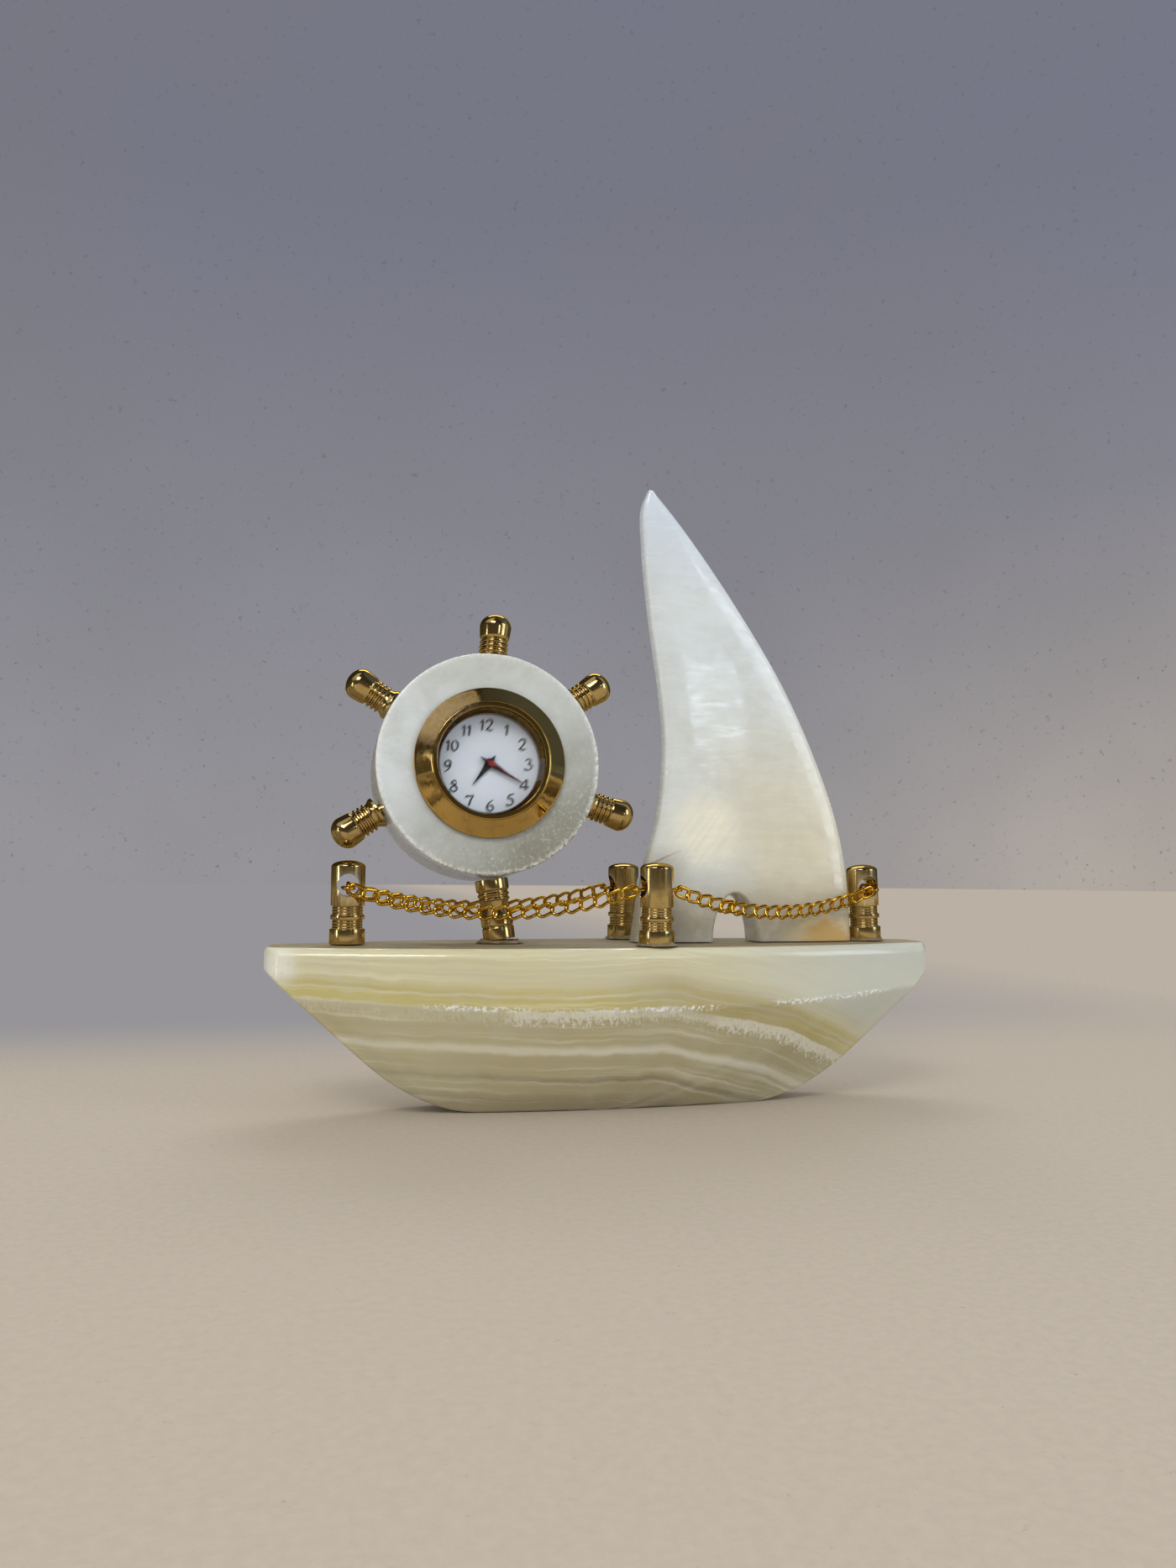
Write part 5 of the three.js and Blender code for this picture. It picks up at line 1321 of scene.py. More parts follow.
# Pen paths of the numerals, in a box one high and about half as wide
STROKES = {
    "0": [[(0.34, 1.0), (0.14, 0.78), (0.08, 0.35), (0.2, 0.02), (0.4, 0.2), (0.48, 0.62), (0.34, 1.0)]],
    "1": [[(0.14, 0.74), (0.25, 0.84), (0.36, 1.02)], [(0.36, 1.0), (0.32, 0.6), (0.25, 0.0)]],
    "2": [
        [(0.16, 0.74), (0.14, 0.84), (0.28, 1.0), (0.48, 0.9), (0.46, 0.64), (0.28, 0.34), (0.04, 0.04)],
        [(0.04, 0.05), (0.18, 0.1), (0.34, 0.0), (0.54, 0.1)],
    ],
    "3": [
        [(0.12, 0.8), (0.24, 0.98), (0.44, 0.9), (0.42, 0.68), (0.24, 0.55)],
        [(0.24, 0.55), (0.46, 0.46), (0.5, 0.2), (0.3, -0.01), (0.08, 0.06), (0.08, 0.2)],
    ],
    "4": [
        [(0.5, 1.0), (0.26, 0.66), (0.0, 0.26)], [(0.0, 0.26), (0.3, 0.27), (0.62, 0.25)],
        [(0.52, 0.98), (0.44, 0.5), (0.36, -0.04)],
    ],
    "5": [
        [(0.22, 0.9), (0.38, 0.95), (0.58, 1.02)], [(0.24, 0.92), (0.2, 0.74), (0.14, 0.56)],
        [(0.14, 0.56), (0.36, 0.58), (0.48, 0.32), (0.34, 0.02), (0.1, 0.0), (0.04, 0.12)],
    ],
    "6": [[
        (0.54, 1.02), (0.3, 0.82), (0.1, 0.42), (0.16, 0.06), (0.36, 0.02), (0.48, 0.26), (0.38, 0.5),
        (0.14, 0.4),
    ]],
    "7": [
        [(0.06, 0.76), (0.12, 0.92), (0.34, 0.9), (0.58, 0.98)], [(0.58, 0.98), (0.36, 0.5), (0.22, -0.04)],
    ],
    "8": [[
        (0.46, 0.84), (0.32, 1.0), (0.16, 0.84), (0.26, 0.62), (0.44, 0.38), (0.44, 0.12), (0.24, 0.0),
        (0.06, 0.14), (0.14, 0.4), (0.38, 0.6), (0.46, 0.84),
    ]],
    "9": [[
        (0.46, 0.72), (0.3, 0.46), (0.14, 0.56), (0.16, 0.86), (0.34, 1.0), (0.48, 0.82), (0.44, 0.44),
        (0.26, 0.12), (0.04, -0.02),
    ]],
}
# The pen's angle, its thickest and thinnest stroke, and how much broader than drawn the numerals are
NIB = math.radians(32)
THICK = 0.225
THIN = 0.1
BREADTH = 1.42
# Room for a digit and for a one, as shares of the numerals' height
ADVANCE = 0.78
NARROW_ADVANCE = 0.48
# Middle of a digit's box, the ink's height, how far it is sunk, and how far the print is off centre
DIGIT_MIDDLE = (0.28 * BREADTH, 0.5)
INK = 0.025
SUNK = 0.01
PRINT_SHIFT = (-0.3, -0.45)


def pen_stroke(points):
    """A broad pen's stroke: its width grows with the sine of the angle between its path and the nib,
    and its ends are rounded. It stands as a slab from 0 to 1 in height."""
    path = spline(np.asarray(points) * (BREADTH, 1), 40)
    run = np.gradient(path, axis=0)
    run = run / np.linalg.norm(run, axis=1, keepdims=True)
    lean = np.arctan2(run[:, 1], run[:, 0]) - NIB
    share = np.linspace(0, 1, len(path))
    round_ends = np.sqrt(np.clip(np.minimum(share, 1 - share) * 14, 0.02, 1))
    half = (THIN + (THICK - THIN) * np.abs(np.sin(lean))) / 2 * round_ends
    side = np.stack((-run[:, 1], run[:, 0]), axis=1) * half[:, None]
    flat = np.stack((path + side, path + side, path - side, path - side), axis=1)
    level = np.broadcast_to(np.array([0, 1, 1, 0])[None, :, None], flat.shape[:2] + (1,))
    rings = np.concatenate((flat, level), axis=-1)
    middles = np.broadcast_to(rings.mean(axis=1, keepdims=True), rings.shape)
    return grid(np.concatenate((middles[:1], rings, middles[-1:])))


def numeral_shells(s):
    """All twelve numerals upright around the dial, which is turned a little and printed off centre."""
    shells = []
    for hour in range(1, 13):
        text = str(hour)
        advance = [NARROW_ADVANCE if digit == "1" else ADVANCE for digit in text]
        start = -sum(advance) / 2
        around = math.radians(30 * hour)
        centre = np.array([math.sin(around), math.cos(around)]) * s.numeral_radius
        for digit, step in zip(text, advance):
            middle = start + step / 2
            for stroke in STROKES[digit]:
                points, faces = pen_stroke(stroke)
                flat = points[:, :2] - DIGIT_MIDDLE + (middle, 0)
                flat = flat * s.numeral_height + centre
                level = DIAL_FACE - SUNK + INK * points[:, 2]
                shells.append((np.column_stack((flat, level)), faces))
            start += step
    points, faces = gathered(*shells)
    sin, cos = math.sin(s.numeral_turn), math.cos(s.numeral_turn)
    points[:, :2] = points[:, :2] @ np.array([[cos, sin], [-sin, cos]]) + PRINT_SHIFT
    return points, faces


# A hand's thickness, the height of its boss over it, the depth of its shoulders and its blunt tips
HAND = 0.2
BOSS = 0.05
SHOULDER = 0.07
BLUNT = 0.08


def hand_shell(width, tip, tail, hollow, hub, level, clock_angle, needle):
    """A kite-shaped hand with hollow sides: half its width runs along a quadratic curve from the hub
    to each end. With a needle, it is a lozenge over a plain taper that starts at that half width.
    Its section is flat with soft shoulders, and a low boss covers the hub."""
    share = np.linspace(0, 1, 28)
    half = width / 2
    across = (1 - share) ** 2 * half + 2 * share * (1 - share) * half * hollow + share ** 2 * BLUNT
    run = 2 * share * (1 - share) * 0.3 + share ** 2
    if needle:
        across = np.maximum(half * (1 - run * tip / (1.5 * width)), needle * (1 - 0.4 * run))
    wide = np.concatenate((across[::-1], across[1:]))
    spot = np.concatenate((-tail * run[::-1], tip * run[1:]))
    top = level + HAND
    low = top - SHOULDER
    edge = [(-1, level), (-1, low), (-0.75, top), (0.75, top), (1, low), (1, level)]
    rings = np.stack([np.stack((wide * a, spot, 0 * wide + b), axis=1) for a, b in edge], axis=1)
    ends = rings[[0, -1]].copy()
    ends[..., 0] = 0
    blade = grid(np.concatenate((ends[:1], rings, ends[1:])))
    corners = np.array([(0, level), (hub, level), (hub, top + BOSS), (0, top + BOSS)])
    points, faces = gathered(blade, turned(eased(corners, 0.08, 4), 48))
    sin, cos = math.sin(clock_angle), math.cos(clock_angle)
    points[:, :2] = points[:, :2] @ np.array([[cos, -sin], [sin, cos]])
    return points, faces


def cup_shell(s):
    """The cup: a thin tube with a flange at each end of the rubber band."""
    inner, flange, back = s.cup_radius - 1.2, s.cup_radius + 0.9, -s.cup_back
    corners = [
        (inner, back), (s.cup_radius, back), (s.cup_radius, -10.4), (flange, -10.4), (flange, -9.8),
        (s.cup_radius, -9.8), (s.cup_radius, -2.2), (flange, -2.2), (flange, -1.6), (inner, -1.6),
    ]
    return turned(closed_ring(corners, 0.12, 4), 160)


# The rubber band's ribs, and its two ends by their height over the ring's face
BAND_RIBS = 4
BAND_BACK = -9.5
BAND_FRONT = -2.5


def band_shell(s, bore):
    """The rubber band: ribs around the cup, each a soft triangle."""
    inner = s.cup_radius + GAP
    height = np.linspace(BAND_BACK, BAND_FRONT, 2 * BAND_RIBS + 1)
    radius = np.where(np.arange(len(height)) % 2, bore - GAP, inner + 0.4)
    outside = np.stack((radius, height), axis=1)
    corners = np.concatenate(([(inner, BAND_BACK)], outside, [(inner, BAND_FRONT)]))
    return turned(closed_ring(corners, 0.25, 5), 160)


def back_shell(s):
    """The case back: a disc with a raised rim, a raised ring and a snap ring that enters the cup."""
    front, plug = -s.cup_back - GAP, s.cup_radius - 1.5
    back = front - 1
    corners = [
        (0, back + 0.25), (9.2, back + 0.25), (9.2, back), (10, back), (10, back + 0.25), (14.4, back + 0.25),
        (14.4, back), (s.cup_radius, back), (s.cup_radius, front), (plug, front), (plug, front + 1.3),
        (plug - 1.3, front + 1.3), (plug - 1.3, front), (0, front),
    ]
    return turned(eased(np.array(corners, float), 0.1, 4), 160)


def knob_shell(s):
    """The setting knob: a turned button whose rim waves in and out fourteen times."""
    back, front, r = KNOB_BACK, KNOB_FRONT, s.knob_radius
    corners = np.array([(0, back), (r, back), (r, front), (0, front)], float)
    points, faces = turned(subdivided(eased(corners, 0.25, 6), 3), 140)
    turn = np.arctan2(points[:, 1], points[:, 0])
    outer = np.clip(np.hypot(points[:, 0], points[:, 1]) - 1.2, 0, 0.6) / 0.6
    points[:, :2] *= (1 - 0.05 * (1 + np.cos(14 * turn)) * outer)[:, None]
    return points + KNOB_PLACE, faces


# Operators

DONE = {"FINISHED"}
# Clock angles of each handle's foot on the rim and of its own direction
HANDLE_ANGLES = {
    "top": (4.5, 5.5), "upper_right": (52, 56), "lower_right": (107, 108),
    "lower_left": (247, 236), "upper_left": (304, 303),
}
# Where the post stands along the hull
POST_X = -28.3
# From the hull's deck up to the middle of the ring's face
WHEEL_HEIGHT = 43.6
# Each hand's body, tail, hollow, hub radius, level, needle, finish and slot
HANDS = {
    "hour": ("hours", 2.4, 0.35, 1.2, -0.65, 0, "black_ink", "black_lacquer"),
    "minute": ("minutes", 2.7, 0.45, 0.95, -0.15, 0, "black_ink", "black_lacquer"),
    "second": ("seconds", 1.4, 0.12, 0.45, 0.35, 0.11, "red_lacquer", "red_lacquer"),
}
# Width of the glue around each stanchion that shows some
GLUE_WIDTHS = {"right": 0.5, "front": 0.9, "back": 0.9}
MOVEMENT = {
    "gear_brass": ["cannon_pinion", "centre_wheel", "seconds_wheel", "main_plate"],
    "white_plastic": [
        "hour_wheel", "minute_wheel", "third_wheel", "step_wheel", "train_bridge", "movement_holder",
    ],
    "steel": ["rotor", "stator", "battery", "battery_clip", "quartz_crystal", "set_stem"],
    "copper": ["coil"],
    "board": ["circuit_board"],
    "black_plastic": ["clock_chip"],
}


def deck_level(context):
    return sizes(context, "clock_hull").height + GAP


def clock_direction(degrees):
    turn = math.radians(degrees)
    return np.array([math.sin(turn), math.cos(turn)])


def stand_off(start, way, radius, side, rim):
    """How far a flat foot moves along its way to sit on the ring's rim: the way's crossing with the
    rim, taken at the foot's middle and at both of its edges."""
    offset = np.array([-radius, 0, radius])
    x, y = start[0] + offset * way[1], start[1] - offset * way[0]
    run = x * way[0] + y * way[1]
    lifts = -run + side * np.sqrt(run ** 2 - (x ** 2 + y ** 2 - (rim + GAP) ** 2))
    return lifts.max() if side > 0 else lifts.min()


def radial_shell(shell, foot, way, s):
    """A shell turned about Z, set in the wheel's middle plane at a foot along a way."""
    return on_wheel(along_axis(shell, (*foot, -s.depth / 2), (*way, 0), (0, 0, 1)), s)


def post_foot(s):
    """Foot of the post in the ring's frame, its direction, and how much its lean widens its foot."""
    way = np.array([-math.sin(s.post_lean), math.cos(s.post_lean)])
    tipped = s.post_radius * math.sin(math.hypot(s.post_lean, s.tilt))
    low = (GAP + tipped - WHEEL_HEIGHT + s.depth / 2 * math.sin(s.tilt)) / math.cos(s.tilt)
    return np.array([POST_X - WHEEL_PLACE[0], low]), way, tipped


class CLOCK_OT_hull(bpy.types.Operator):
    """Carves the stone hull"""
    bl_idname = "clock.hull"
    bl_label = "Hull"

    def execute(self, context):
        shell = hull_shell(sizes(context, "clock_hull"))
        make("hull_stone", shell, finish(context, "hull_onyx"), "base", "onyx_green", "hull", sharp=30)
        return DONE


class CLOCK_OT_sail(bpy.types.Operator):
    """Carves the stone sail and cuts its arch"""
    bl_idname = "clock.sail"
    bl_label = "Sail"

    def execute(self, context):
        s, deck = sizes(context, "clock_sail"), deck_level(context)
        mesh = cut_away("sail", sail_shell(s, deck), arch_cutter(s, deck), finish(context, "sail_onyx"), 40)
        new_piece("sail_stone", mesh, "base", "onyx_white", "sail")
        return DONE


class CLOCK_OT_stanchions(bpy.types.Operator):
    """Turns the four brass stanchions and bores their eyes"""
    bl_idname = "clock.stanchions"
    bl_label = "Stanchions"

    def execute(self, context):
        s, deck = sizes(context, "clock_stanchion"), deck_level(context)
        brass = finish(context, "turned_brass")
        for side, (foot, along_hull) in stanchion_places(deck).items():
            lean = s.lean if side == "right" else 0.0
            axis = np.array([-math.sin(lean), 0, math.cos(lean)])
            eye = np.asarray(foot) + axis * (s.height - s.eye_drop)
            shell = along_axis(stanchion_shell(s), foot, axis, (0, 1, 0))
            drill = along_axis(rod(s.eye_radius, -9, 9), eye, (along_hull, not along_hull, 0), (0, 0, 1))
            mesh = cut_away(f"stanchion_{side}", shell, drill, brass, 40)
            new_piece(f"stanchion_{side}_brass", mesh, "base", "brass", f"stanchion_{side}")
        return DONE


class CLOCK_OT_chain(bpy.types.Operator):
    """Bends the chain's links in the eyes and along the swags"""
    bl_idname = "clock.chain"
    bl_label = "Chain"

    def execute(self, context):
        s, posts, deck = sizes(context, "clock_chain"), sizes(context, "clock_stanchion"), deck_level(context)
        gold = finish(context, "chain_gold")
        feet = stanchion_places(deck)
        reach = s.eye_link - s.eye_grip + s.eye_link / 2 - s.bend
        level = eye_level(s, posts, deck)

        def hook(side, way):
            (x, y, _), along_hull = feet[side]
            return np.array([x + way * reach * along_hull, y + way * reach * (not along_hull), level])

        parts = {side + "_eye": ("base", eye_links(s, *feet[side], level)) for side in feet}
        for name, start, end, sag in (
            ("front_left", hook("left", -1), hook("front", -1), s.front_sag),
            ("front_right", hook("front", 1), hook("right", -1), s.front_sag),
            ("back_left", hook("left", 1), hook("back", -1), s.back_sag),
            ("back_right", hook("back", 1), hook("right", 1), s.back_sag),
        ):
            parts[name] = ("swag_" + name, swag_links(s, start, end, sag))
        for name, (body, shell) in parts.items():
            make(f"chain_{name}_links", shell, gold, body, "chain_gold", f"chain_{name}", sharp=80)
        return DONE


class CLOCK_OT_ring(bpy.types.Operator):
    """Turns the wheel's stone ring"""
    bl_idname = "clock.ring"
    bl_label = "Wheel ring"

    def execute(self, context):
        s = sizes(context, "clock_wheel")
        stone = finish(context, "ring_onyx")
        make("wheel_ring_stone", on_wheel(ring_shell(s), s), stone, "base", "onyx_white", "wheel_ring")
        return DONE


class CLOCK_OT_handles(bpy.types.Operator):
    """Turns the wheel's five brass handles"""
    bl_idname = "clock.handles"
    bl_label = "Handles"

    def execute(self, context):
        s = sizes(context, "clock_wheel")
        brass = finish(context, "turned_brass")
        for name, (foot_angle, own_angle) in HANDLE_ANGLES.items():
            way = clock_direction(own_angle)
            rim = clock_direction(foot_angle) * s.radius
            foot = rim + way * stand_off(rim, way, s.flange_radius, 1, s.radius)
            shell = radial_shell(handle_shell(s), foot, way, s)
            make(f"handle_{name}_brass", shell, brass, "base", "brass", f"handle_{name}", sharp=50)
        return DONE


class CLOCK_OT_post(bpy.types.Operator):
    """Turns the brass post that carries the ring"""
    bl_idname = "clock.post"
    bl_label = "Post"

    def execute(self, context):
        s = sizes(context, "clock_wheel")
        foot, way, _ = post_foot(s)
        height = stand_off(foot, way, s.post_collar_radius, -1, s.radius)
        shell, brass = radial_shell(post_shell(s, height), foot, way, s), finish(context, "turned_brass")
        make("pedestal_post_brass", shell, brass, "base", "brass", "pedestal_post", sharp=50)
        return DONE


class CLOCK_OT_glue(bpy.types.Operator):
    """Squeezes glue out around the feet that show it"""
    bl_idname = "clock.glue"
    bl_label = "Glue"

    def execute(self, context):
        s, posts, deck = sizes(context, "clock_wheel"), sizes(context, "clock_stanchion"), deck_level(context)
        glue = finish(context, "dried_glue")
        foot, _, tipped = post_foot(s)
        y = WHEEL_PLACE[1] + s.depth / 2 * math.cos(s.tilt) + foot[1] * math.sin(s.tilt)
        spots = {"glue_pedestal": ((POST_X, y, deck), s.post_radius + tipped, 1.2)}
        for side, width in GLUE_WIDTHS.items():
            spots[f"glue_stanchion_{side}"] = (stanchion_places(deck)[side][0], posts.base_radius, width)
        for seed, (node, spot) in enumerate(spots.items()):
            make(node + "_fillet", glue_shell(*spot, seed), glue, "base", "adhesive", node, sharp=60)
        return DONE


class CLOCK_OT_bezel(bpy.types.Operator):
    """Turns the bezel, the collar behind the lens and the lens"""
    bl_idname = "clock.bezel"
    bl_label = "Bezel and lens"

    def execute(self, context):
        s, wheel = sizes(context, "clock_insert"), sizes(context, "clock_wheel")
        for name, shell, material, slot, node in (
            ("bezel_gilt", bezel_shell(s), "bezel_gold", "gold_plate", "bezel"),
            ("dial_collar_gilt", collar_shell(s), "collar_gold", "gold_plate", "dial_collar"),
            ("lens_clear", lens_shell(s), "lens_glass", "lens_glass", "lens"),
        ):
            make(name, on_wheel(shell, wheel), finish(context, material), "insert", slot, node, sharp=30)
        return DONE


class CLOCK_OT_dial(bpy.types.Operator):
    """Cuts the dial and writes its numerals"""
    bl_idname = "clock.dial"
    bl_label = "Dial"

    def execute(self, context):
        s, wheel = sizes(context, "clock_insert"), sizes(context, "clock_wheel")
        card, ink = on_wheel(dial_shell(s), wheel), on_wheel(numeral_shells(s), wheel)
        make("dial_card", card, finish(context, "dial_card"), "insert", "dial_white", "dial")
        make("dial_numerals", ink, finish(context, "black_ink"), "insert", "black_lacquer")
        return DONE


class CLOCK_OT_hands(bpy.types.Operator):
    """Cuts the three hands"""
    bl_idname = "clock.hands"
    bl_label = "Hands"

    def execute(self, context):
        s, wheel = sizes(context, "clock_insert"), sizes(context, "clock_wheel")
        for name, (body, tail, hollow, hub, level, needle, material, slot) in HANDS.items():
            width, tip, turn = (getattr(s, f"{name}_{key}") for key in ("width", "tip", "angle"))
            shell = on_wheel(hand_shell(width, tip, tail, hollow, hub, level, turn, needle), wheel)
            node = name + "_hand"
            make(node + "_cut", shell, finish(context, material), body, slot, node, sharp=30)
        return DONE


class CLOCK_OT_case(bpy.types.Operator):
    """Moulds the insert's cup, rubber band, back and setting knob"""
    bl_idname = "clock.case"
    bl_label = "Case"

    def execute(self, context):
        s, wheel = sizes(context, "clock_insert"), sizes(context, "clock_wheel")
        black, rubber = finish(context, "black_plastic"), finish(context, "rubber")
        drill = placed(rod(s.knob_radius + GAP, KNOB_BACK - 0.1, -11), KNOB_PLACE)
        back = cut_away("case_back", on_wheel(back_shell(s), wheel), on_wheel(drill, wheel), black)
        new_piece("case_back_moulded", back, "back_cover", "black_plastic", "case_back")
        for name, shell, material, body, slot, node in (
            ("case_cup_moulded", cup_shell(s), black, "insert", "black_plastic", "case_cup"),
            ("grip_band_ribbed", band_shell(s, wheel.bore), rubber, "insert", "rubber", "grip_band"),
            ("set_knob_fluted", knob_shell(s), black, "setting", "black_plastic", "set_knob"),
        ):
            make(name, on_wheel(shell, wheel), material, body, slot, node)
        return DONE


class CLOCK_OT_movement(bpy.types.Operator):
    """Gives the movement's pieces, kept from the frame, their finishes"""
    bl_idname = "clock.movement"
    bl_label = "Movement"

    def execute(self, context):
        for name, nodes in MOVEMENT.items():
            for node in nodes:
                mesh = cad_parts[node].data
                mesh.materials.clear()
                mesh.materials.append(finish(context, name))
        return DONE


# Stage

CAMERA_PLACE = (-74.86, -286.04, 57.05)
CAMERA_HEADING = math.radians(13.416)
CAMERA_RISE = math.radians(4.177)
CAMERA_ROLL = math.radians(0.385)
CAMERA_LENS = 27.03
LAMP_AIM = (0, 0, 0.05)
# Panels of the room that mirrors show: azimuth and half width in degrees, low and high edge,
# strength, whether streaks break it up, and its colour
PANELS = [
    (84, 45, -0.2, 1.1, 1.0, False, (0.10, 0.13, 0.21)),
    (-58, 8, -0.3, 0.1, 1.0, True, (0.22, 0.32, 0.6)),
    (-80, 13, -0.2, 0.12, 1.0, True, (1.4, 1.35, 1.2)),
    (84, 15, 0.03, 0.14, 1.0, True, (1.3, 1.35, 1.4)),
    (-66, 38, 0.42, 1.25, 0.85, False, (0.64, 0.65, 0.68)),
    (150, 25, 0.1, 0.9, 0.5, False, (0.6, 0.6, 0.62)),
]
ROOM_LOW = (0.1, 0.09, 0.075)
ROOM_HIGH = (0.04, 0.036, 0.034)
DIM_FLOOR = (0.02, 0.018, 0.015)


def set_down(name, data, axes, spot):
    """An object of the stage with its three axes, at a spot in metres."""
    item = bpy.data.objects.new(name, data)
    bpy.context.scene.collection.objects.link(item)
    matrix = np.eye(4)
    matrix[:3, :3] = np.stack(axes, axis=1)
    matrix[:3, 3] = spot
    item.matrix_world = Matrix(matrix.tolist())
    return item


def add_camera():
    """The camera at the photograph's place, looking along its heading and rise."""
    heading, rise, roll = CAMERA_HEADING, CAMERA_RISE, CAMERA_ROLL
    level = np.array([math.cos(heading), -math.sin(heading), 0])
    ahead = np.array([math.sin(heading) * math.cos(rise), math.cos(heading) * math.cos(rise), math.sin(rise)])
    over = np.cross(level, ahead)
    right = level * math.cos(roll) + over * math.sin(roll)
    up = over * math.cos(roll) - level * math.sin(roll)
    data = bpy.data.cameras.new("camera")
    data.lens = CAMERA_LENS
    data.sensor_width = 36
    data.clip_start = 0.01
    data.clip_end = 50
    bpy.context.scene.camera = set_down("camera", data, (right, up, -ahead), np.array(CAMERA_PLACE) * MM)


def add_lamp(name, spot, aim, width, height, power, shade=(1, 1, 1)):
    """A rectangular soft lamp at a place, turned to its aim."""
    data = bpy.data.lights.new(name, "AREA")
    data.shape = "RECTANGLE"
    data.size, data.size_y = width, height
    data.energy = power
    data.color = shade
    back = np.asarray(spot, float) - np.asarray(aim, float)
    back = back / np.linalg.norm(back)
    side = np.cross(UP, back)
    side = side / np.linalg.norm(side)
    set_down(name, data, (side, np.cross(back, side), back), spot)


def light_path(tree, *kinds):
    """Masks of the rays of some kinds."""
    outputs = add(tree, "ShaderNodeLightPath").outputs
    return [Field(outputs[f"Is {kind} Ray"]) for kind in kinds]


def floor_finish(stage):
    """Pale speckled floor that gives way to the backdrop's colour behind the clock and far from it.
    To both sides, mirrors see it dim with stripes."""
    material, where = new_material("floor_paper")
    tree = material.node_tree
    x, y, _ = separated(where)
    grain = noise(where, 0.6, 5.0, 0.7)
    pale = painted(
        stage.floor,
        (between(grain, 0.35, 0.65, 0.0, 0.3), scaled(stage.floor, 0.72)),
        (between(noise(where, 0.35, 6.0, 0.8), 0.63, 0.7, 0.0, 0.5), scaled(stage.floor, 0.35)),
    )
    feed(material, Roughness=0.85, Base_Color=pale)
    around = calc("ARCTAN2", x + 32, y * -1)
    aside = 1.0 - near_value(around, math.radians(8), math.radians(62), math.radians(65))
    stripes = noise(combined(around, 0.0, 0.0), 9, 3.0, 0.7)
    dim = blend(between(stripes, 0.48, 0.56), DIM_FLOOR, stage.floor)
    wall = painted(
        stage.backdrop,
        (between(x, 60, 330, 0.0, 0.9), stage.floor),
        (between(grain, 0.35, 0.65, 0.0, 0.25), scaled(stage.backdrop, 0.75)),
    )
    away = vector_math("DISTANCE", where, (0, 20, 0), output="Value")
    share = either(between(y, 45, 190, smooth=True), between(away, 500, 1500, smooth=True))
    camera, glossy, through = light_path(tree, "Camera", "Glossy", "Transmission")
    glow = derived("ShaderNodeEmission", {"Color": wall, "Strength": 1.0})
    flat = derived("ShaderNodeEmission", {"Color": dim, "Strength": 1.0})
    near_part = mixed_shaders(glossy * aside * 0.9, Field(tree.nodes[SHADER].outputs[0]), flat)
    show(tree, "Material Output", mixed_shaders(share * either(camera, glossy, through), near_part, glow))
    return material


def soft_box(azimuth, rise, aim, half_width, low, high):
    """A soft upright panel of the room, as a mask by azimuth and rise."""
    inside = near_value(azimuth, math.radians(aim), math.radians(0.6 * half_width), math.radians(half_width))
    return inside * between(rise, low, low + 0.15) * between(rise, high, high - 0.2)


def set_world(stage):
    """Plain light from all sides, with the backdrop's colour where it is seen directly, and in
    mirrors a darker room with a few soft bright panels."""
    world = bpy.data.worlds.new("room")
    world.use_nodes = True
    bpy.context.scene.world = world
    tree = world.node_tree
    direction = source(tree, "ShaderNodeTexCoord", "Generated")
    x, y, rise = separated(direction)
    wall = painted(
        stage.backdrop,
        (between(rise, 0.0, 0.5), stage.sky),
        (between(x, 0.35, 0.62) * between(rise, 0.3, 0.0) * 0.6, stage.floor),
        (between(noise(direction, 2.2, 4.0, 0.6), 0.35, 0.65, 0.0, 0.4), scaled(stage.backdrop, 0.62)),
        (between(noise(direction, 240, 4.0, 0.7), 0.62, 0.7, 0.0, 0.6), scaled(stage.backdrop, 0.4)),
    )

    azimuth = calc("ARCTAN2", x, y * -1)
    streaks = noise(combined(azimuth, 0.0, rise * 2.2), 16, 3.0, 0.7)
    broken = between(streaks, 0.4, 0.6, 0.25, 1.0)
    mirror = blend(between(rise, 0.0, 0.5), ROOM_LOW, ROOM_HIGH)
    for aim, half_width, low, high, strength, streaked, shade in PANELS:
        share = broken if streaked else strength
        mirror = blend(soft_box(azimuth, rise, aim, half_width, low, high) * share, mirror, shade)

    camera, glossy, through = light_path(tree, "Camera", "Glossy", "Transmission")
    room = add(tree, "ShaderNodeBackground", {"Color": (1, 1, 1, 1), "Strength": stage.room})
    seen = derived("ShaderNodeBackground", {"Color": wall, "Strength": 1.0})
    mirrored = derived("ShaderNodeBackground", {"Color": mirror, "Strength": 1.0})
    first = mixed_shaders(glossy, Field(room.outputs[0]), mirrored)
    show(tree, "World Output", mixed_shaders(either(camera, through), first, seen))


def floor_shell():
    """A round floor: rings whose radius grows by a power from the middle."""
    radius = 4000 * np.linspace(0, 1, 40) ** 2
    return turned(np.stack((radius, 0 * radius - 0.02), axis=1), 96)


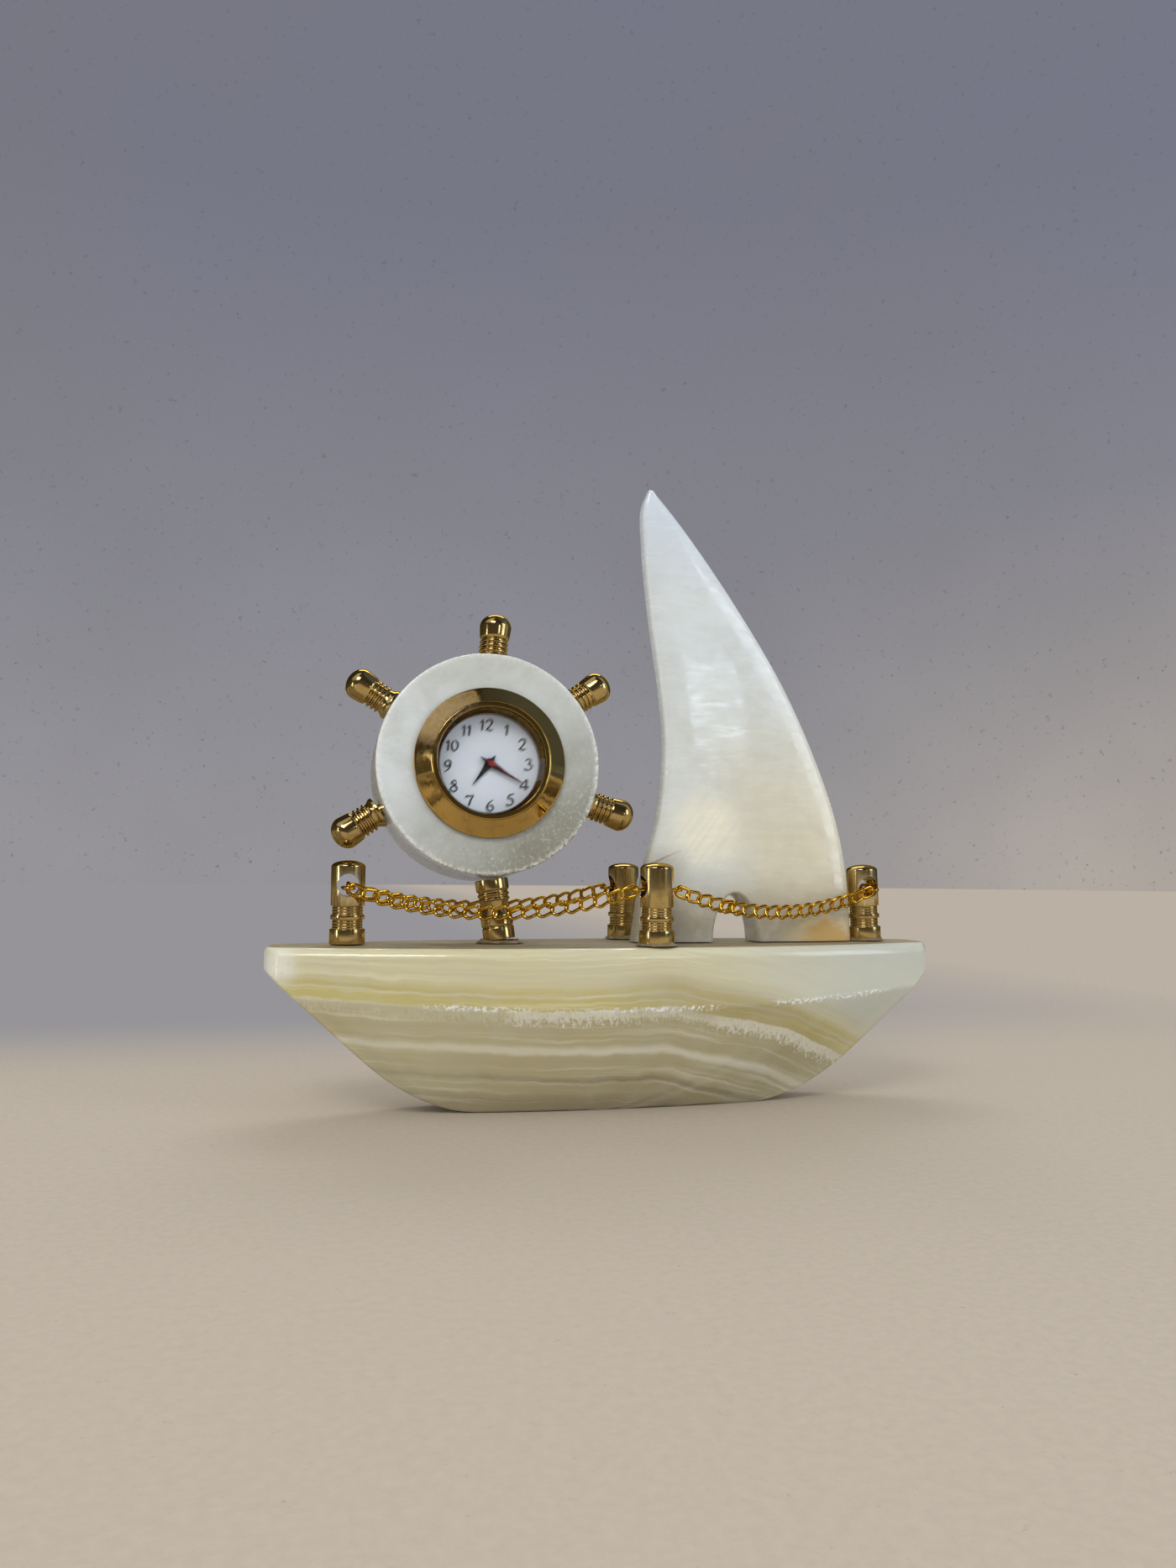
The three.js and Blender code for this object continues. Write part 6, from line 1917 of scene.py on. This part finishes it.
class CLOCK_OT_stage(bpy.types.Operator):
    """Lays the floor and sets lamps, room light and camera"""
    bl_idname = "clock.stage"
    bl_label = "Stage"

    def execute(self, context):
        stage = sizes(context, "clock_stage")
        floor = bpy.data.objects.new("floor", new_mesh("floor", *floor_shell(), floor_finish(stage)))
        context.scene.collection.objects.link(floor)
        set_world(stage)
        add_lamp("key", (-0.45, -0.75, 0.85), LAMP_AIM, 0.5, 0.35, stage.key, (1.0, 0.97, 0.92))
        add_lamp("fill", (0.75, -0.55, 0.35), LAMP_AIM, 0.35, 0.5, stage.fill, (0.86, 0.92, 1.0))
        add_lamp("top", (0.1, 0.6, 0.85), LAMP_AIM, 0.6, 0.25, stage.top)
        add_lamp("window", (0.2, -0.565, 0.2), (0.022, 0, 0.098), 0.1, 0.065, 0.085, (0.7, 0.85, 1.0))
        add_lamp("strip", (-0.75, -0.22, 0.15), (-0.05, 0, 0.05), 0.07, 0.26, 0.35, (1.0, 0.98, 0.95))
        add_camera()
        context.scene.view_settings.view_transform = "Standard"
        return DONE


class CLOCK_PT_panel(bpy.types.Panel):
    """Lists the steps of the clock and the values they use"""
    bl_label = "Desk clock"
    bl_idname = "CLOCK_PT_panel"
    bl_space_type = "VIEW_3D"
    bl_region_type = "UI"
    bl_category = "Desk clock"

    def draw(self, context):
        for step in STEPS:
            self.layout.operator(step.bl_idname)
        for name, group in GROUPS.items():
            box = self.layout.box()
            box.label(text=name.replace("clock_", "").capitalize())
            for key in group.__annotations__:
                box.prop(getattr(context.scene, name), key)


STEPS = [
    CLOCK_OT_hull, CLOCK_OT_sail, CLOCK_OT_stanchions, CLOCK_OT_chain, CLOCK_OT_ring, CLOCK_OT_handles,
    CLOCK_OT_post, CLOCK_OT_glue, CLOCK_OT_bezel, CLOCK_OT_dial, CLOCK_OT_hands, CLOCK_OT_case,
    CLOCK_OT_movement, CLOCK_OT_stage,
]


def register():
    for item in [*GROUPS.values(), *STEPS, CLOCK_PT_panel]:
        bpy.utils.register_class(item)
    for name, group in GROUPS.items():
        setattr(bpy.types.Scene, name, PointerProperty(type=group))


def unregister():
    for name in GROUPS:
        delattr(bpy.types.Scene, name)
    for item in [CLOCK_PT_panel, *reversed(STEPS), *reversed(GROUPS.values())]:
        bpy.utils.unregister_class(item)


def main():
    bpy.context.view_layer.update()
    register()
    for step in STEPS:
        group, name = step.bl_idname.split(".")
        getattr(getattr(bpy.ops, group), name)()


if __name__ == "__main__":
    main()
